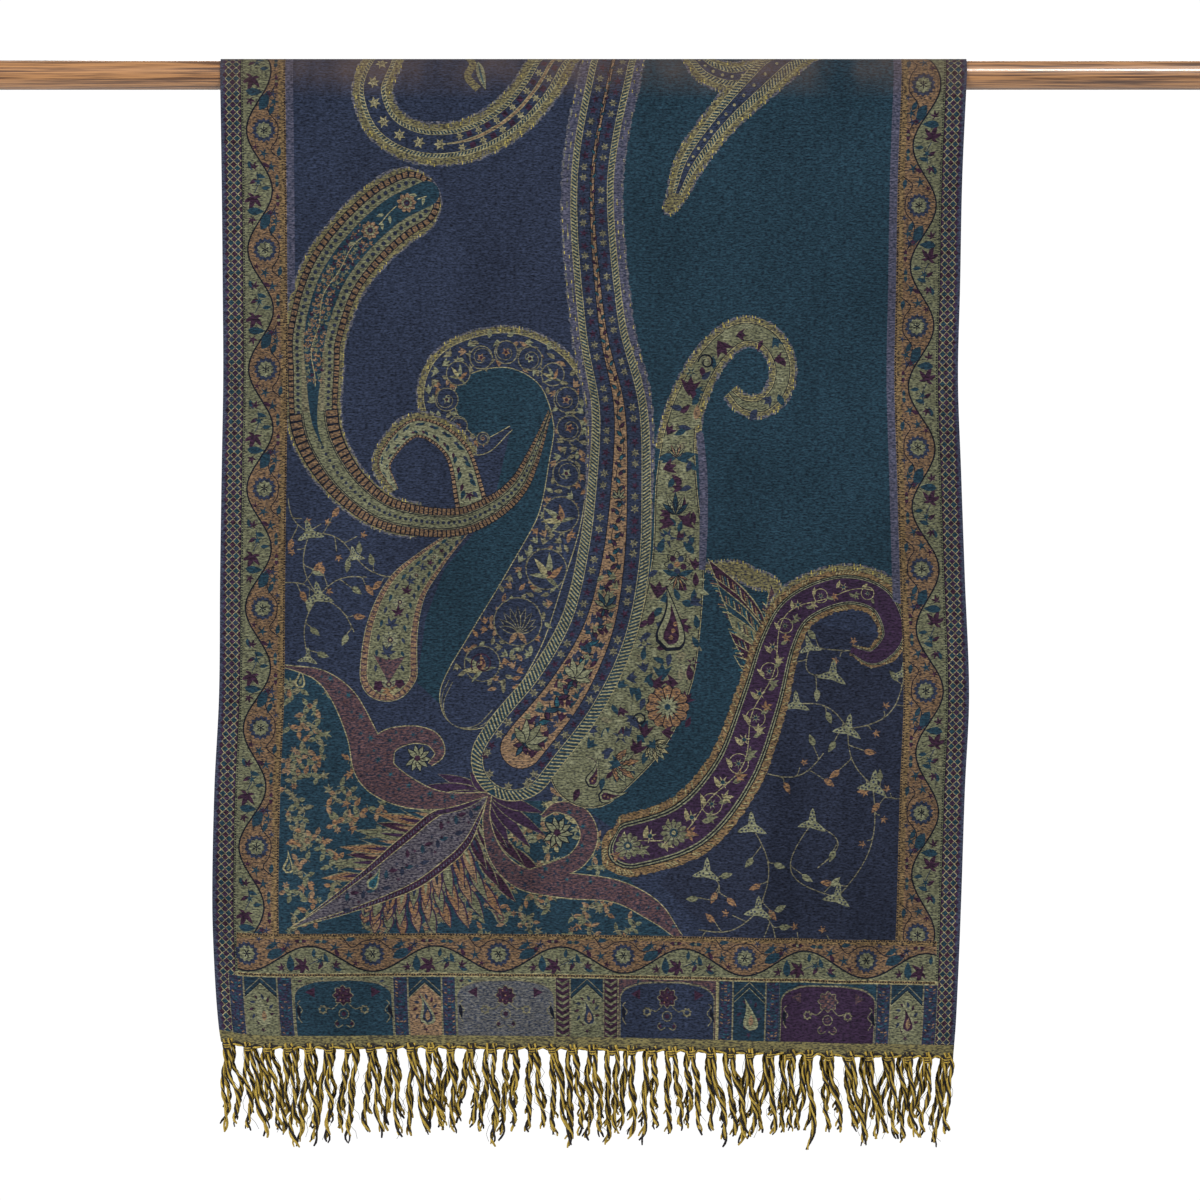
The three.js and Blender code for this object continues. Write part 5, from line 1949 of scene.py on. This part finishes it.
def streak(group, tree, shader, stretch, detail, contrast, lift, first, second):
    """Colours a shader by the streaks, laid on the piece's own coordinates, and gives their height."""
    place = wire(tree, "ShaderNodeTexCoord").outputs["Object"]
    inputs = {"Place": place, "Stretch": stretch, "Detail": detail, "Contrast": contrast, "Lift": lift,
              "First": first, "Second": second}
    streaks = wire(tree, "ShaderNodeGroup", inputs, node_tree=group)
    tree.links.new(streaks.outputs["Shade"], shader.inputs["Base Color"])
    return streaks.outputs["Height"]


def heading_material(group):
    """The ribbed heading: fine olive cords with dark gaps between them."""
    material, tree, shader = new_material("shawl_heading", Roughness=0.9, Specular_IOR_Level=0.06)
    ribs = streak(group, tree, shader, (300, 300, 1000), 1.0, 4.0, -1.5,
                  screen(58, 56, 50), screen(128, 120, 80))
    bump = wire(tree, "ShaderNodeBump", {"Strength": 0.6, "Distance": 0.0008, "Height": ribs})
    tree.links.new(bump.outputs[0], shader.inputs["Normal"])
    return material


def yarn_material(group, name, light, dark):
    """Soft fringe yarn: fine lengthwise fibres in two shades."""
    material, tree, shader = new_material(name, Roughness=0.8, Specular_IOR_Level=0.15)
    fibres = streak(group, tree, shader, (900, 900, 120), 2.0, 2.4, -0.7, dark, light)
    bump = wire(tree, "ShaderNodeBump", {"Strength": 0.5, "Distance": 0.0005, "Height": fibres})
    tree.links.new(bump.outputs[0], shader.inputs["Normal"])
    return material


def rod_material(group, name, light, dark, stretch):
    """Varnished softwood: pale wood with fine darker grain drawn out along the rod, under a clear coat."""
    material, tree, shader = new_material(name, Roughness=0.42, Specular_IOR_Level=0.4, Coat_Weight=0.8,
                                          Coat_Roughness=0.2)
    streak(group, tree, shader, stretch, 3.0, 5.5, -2.4, light, dark)
    return material


def turned_rod(materials):
    """The rod: a round bar with slightly rounded ends, sawn across."""
    round_edge = 1.4 * mm
    turn = np.linspace(0, math.pi / 2, 5)
    from_end = np.concatenate([round_edge * (1 - np.cos(turn)), [0.02, 0.2]])
    inset = np.concatenate([round_edge * (1 - np.sin(turn)), [0, 0]])
    x = np.concatenate([-rod_length / 2 + from_end, (rod_length / 2 - from_end)[::-1]])
    radius = rod_diameter / 2 - np.concatenate([inset, inset[::-1]])
    path = paired(x, 0 * x, 0 * x)[None]
    piece = add_piece("turned_rod", [(tubes(path, radius[None], 72), 0)], materials)
    for end in piece.data.polygons[-2:]:
        end.material_index = 1
    return piece


def area_light(name, place, aim, size, power, tall=None):
    light = bpy.data.lights.new(name, "AREA")
    light.shape = "RECTANGLE"
    light.size = size
    light.size_y = tall or size
    light.energy = power
    lamp = bpy.data.objects.new(name, light)
    lamp.location = place
    lamp.rotation_euler = (Vector(aim) - Vector(place)).to_track_quat("-Z", "Y").to_euler()
    bpy.context.scene.collection.objects.link(lamp)
    return lamp


def studio():
    """A pale floor, an even white surround and large soft lights from the front."""
    size = 1.5
    floor = bpy.data.meshes.new("floor")
    corners = [(-size, -size, -1.25), (size, -size, -1.25), (size, size, -1.25), (-size, size, -1.25)]
    floor.from_pydata(corners, [], [(0, 1, 2, 3)])
    floor.materials.append(new_material("floor", Base_Color=(0.85, 0.85, 0.85, 1), Roughness=0.8)[0])
    ground = bpy.data.objects.new("floor", floor)
    bpy.context.scene.collection.objects.link(ground)
    world = bpy.data.worlds.new("studio")
    world.use_nodes = True
    bpy.context.scene.world = world
    tree = world.node_tree
    seen = wire(tree, "ShaderNodeLightPath").outputs["Is Camera Ray"]
    strength = math_node(tree, "MULTIPLY_ADD", seen, 0.76, 0.28)
    tree.links.new(strength, tree.nodes["Background"].inputs["Strength"])
    tree.nodes["Background"].inputs["Color"].default_value = (1, 1, 1, 1)
    aim = (0, 0, -0.5)
    area_light("key", (-3.4, -2.6, 1.2), aim, 1.8, 150)
    area_light("fill", (2.2, -3.8, 0.6), aim, 2.2, 52)
    area_light("back", (0.5, 3.6, 1.2), aim, 2.6, 90)
    area_light("top", (1.2, -1.1, 2.2), (0.3, 0, -0.3), 0.5, 22)
    strip = area_light("strip", (1.0, -3.5, 2.6), (0.5, 0, 0), 0.8, 110, 0.5)
    strip.visible_diffuse = False


def look():
    """A level camera straight in front, far enough off to see no perspective."""
    distance = 6.0
    view_width = 1.1406
    camera = bpy.data.cameras.new("camera")
    camera.sensor_width = 36
    camera.lens = 36 * (distance - middle_radius) / view_width
    eye = bpy.data.objects.new("camera", camera)
    eye.location = (0.00665, -distance, -0.50015)
    eye.rotation_euler = (math.pi / 2, 0, 0)
    bpy.context.scene.collection.objects.link(eye)
    bpy.context.scene.camera = eye


cloth_weave = weave_material()
streaks = streaks_group()
heading_weave = heading_material(streaks)
yarns = [yarn_material(streaks, "yarn_gold", screen(200, 172, 78), screen(130, 106, 42)),
         yarn_material(streaks, "yarn_black", screen(48, 44, 46), screen(22, 20, 22))]
wood = [rod_material(streaks, "rod_varnish", screen(184, 132, 84), screen(84, 54, 36), (11, 640, 640)),
        rod_material(streaks, "rod_end", screen(190, 158, 116), screen(140, 100, 64), (1, 420, 130))]

flat = flat_cloth()
for name, front in (("front_cloth", True), ("back_cloth", False)):
    cloth = lay_cloth(name, flat, front)
    cloth.data.materials.append(cloth_weave)
    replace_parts(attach(cloth, "root"), "shawl_cloth")

for name, node, front in (("front_fringe", "fringe_front", True), ("back_fringe", "fringe_back", False)):
    piece = fringe(name, front, heading_weave, yarns)
    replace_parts(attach(piece, "root"), node)

rod_piece = turned_rod(wood)
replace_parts(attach(rod_piece, "root"), "rod")

studio()
look()
bpy.context.scene.view_settings.view_transform = "Standard"
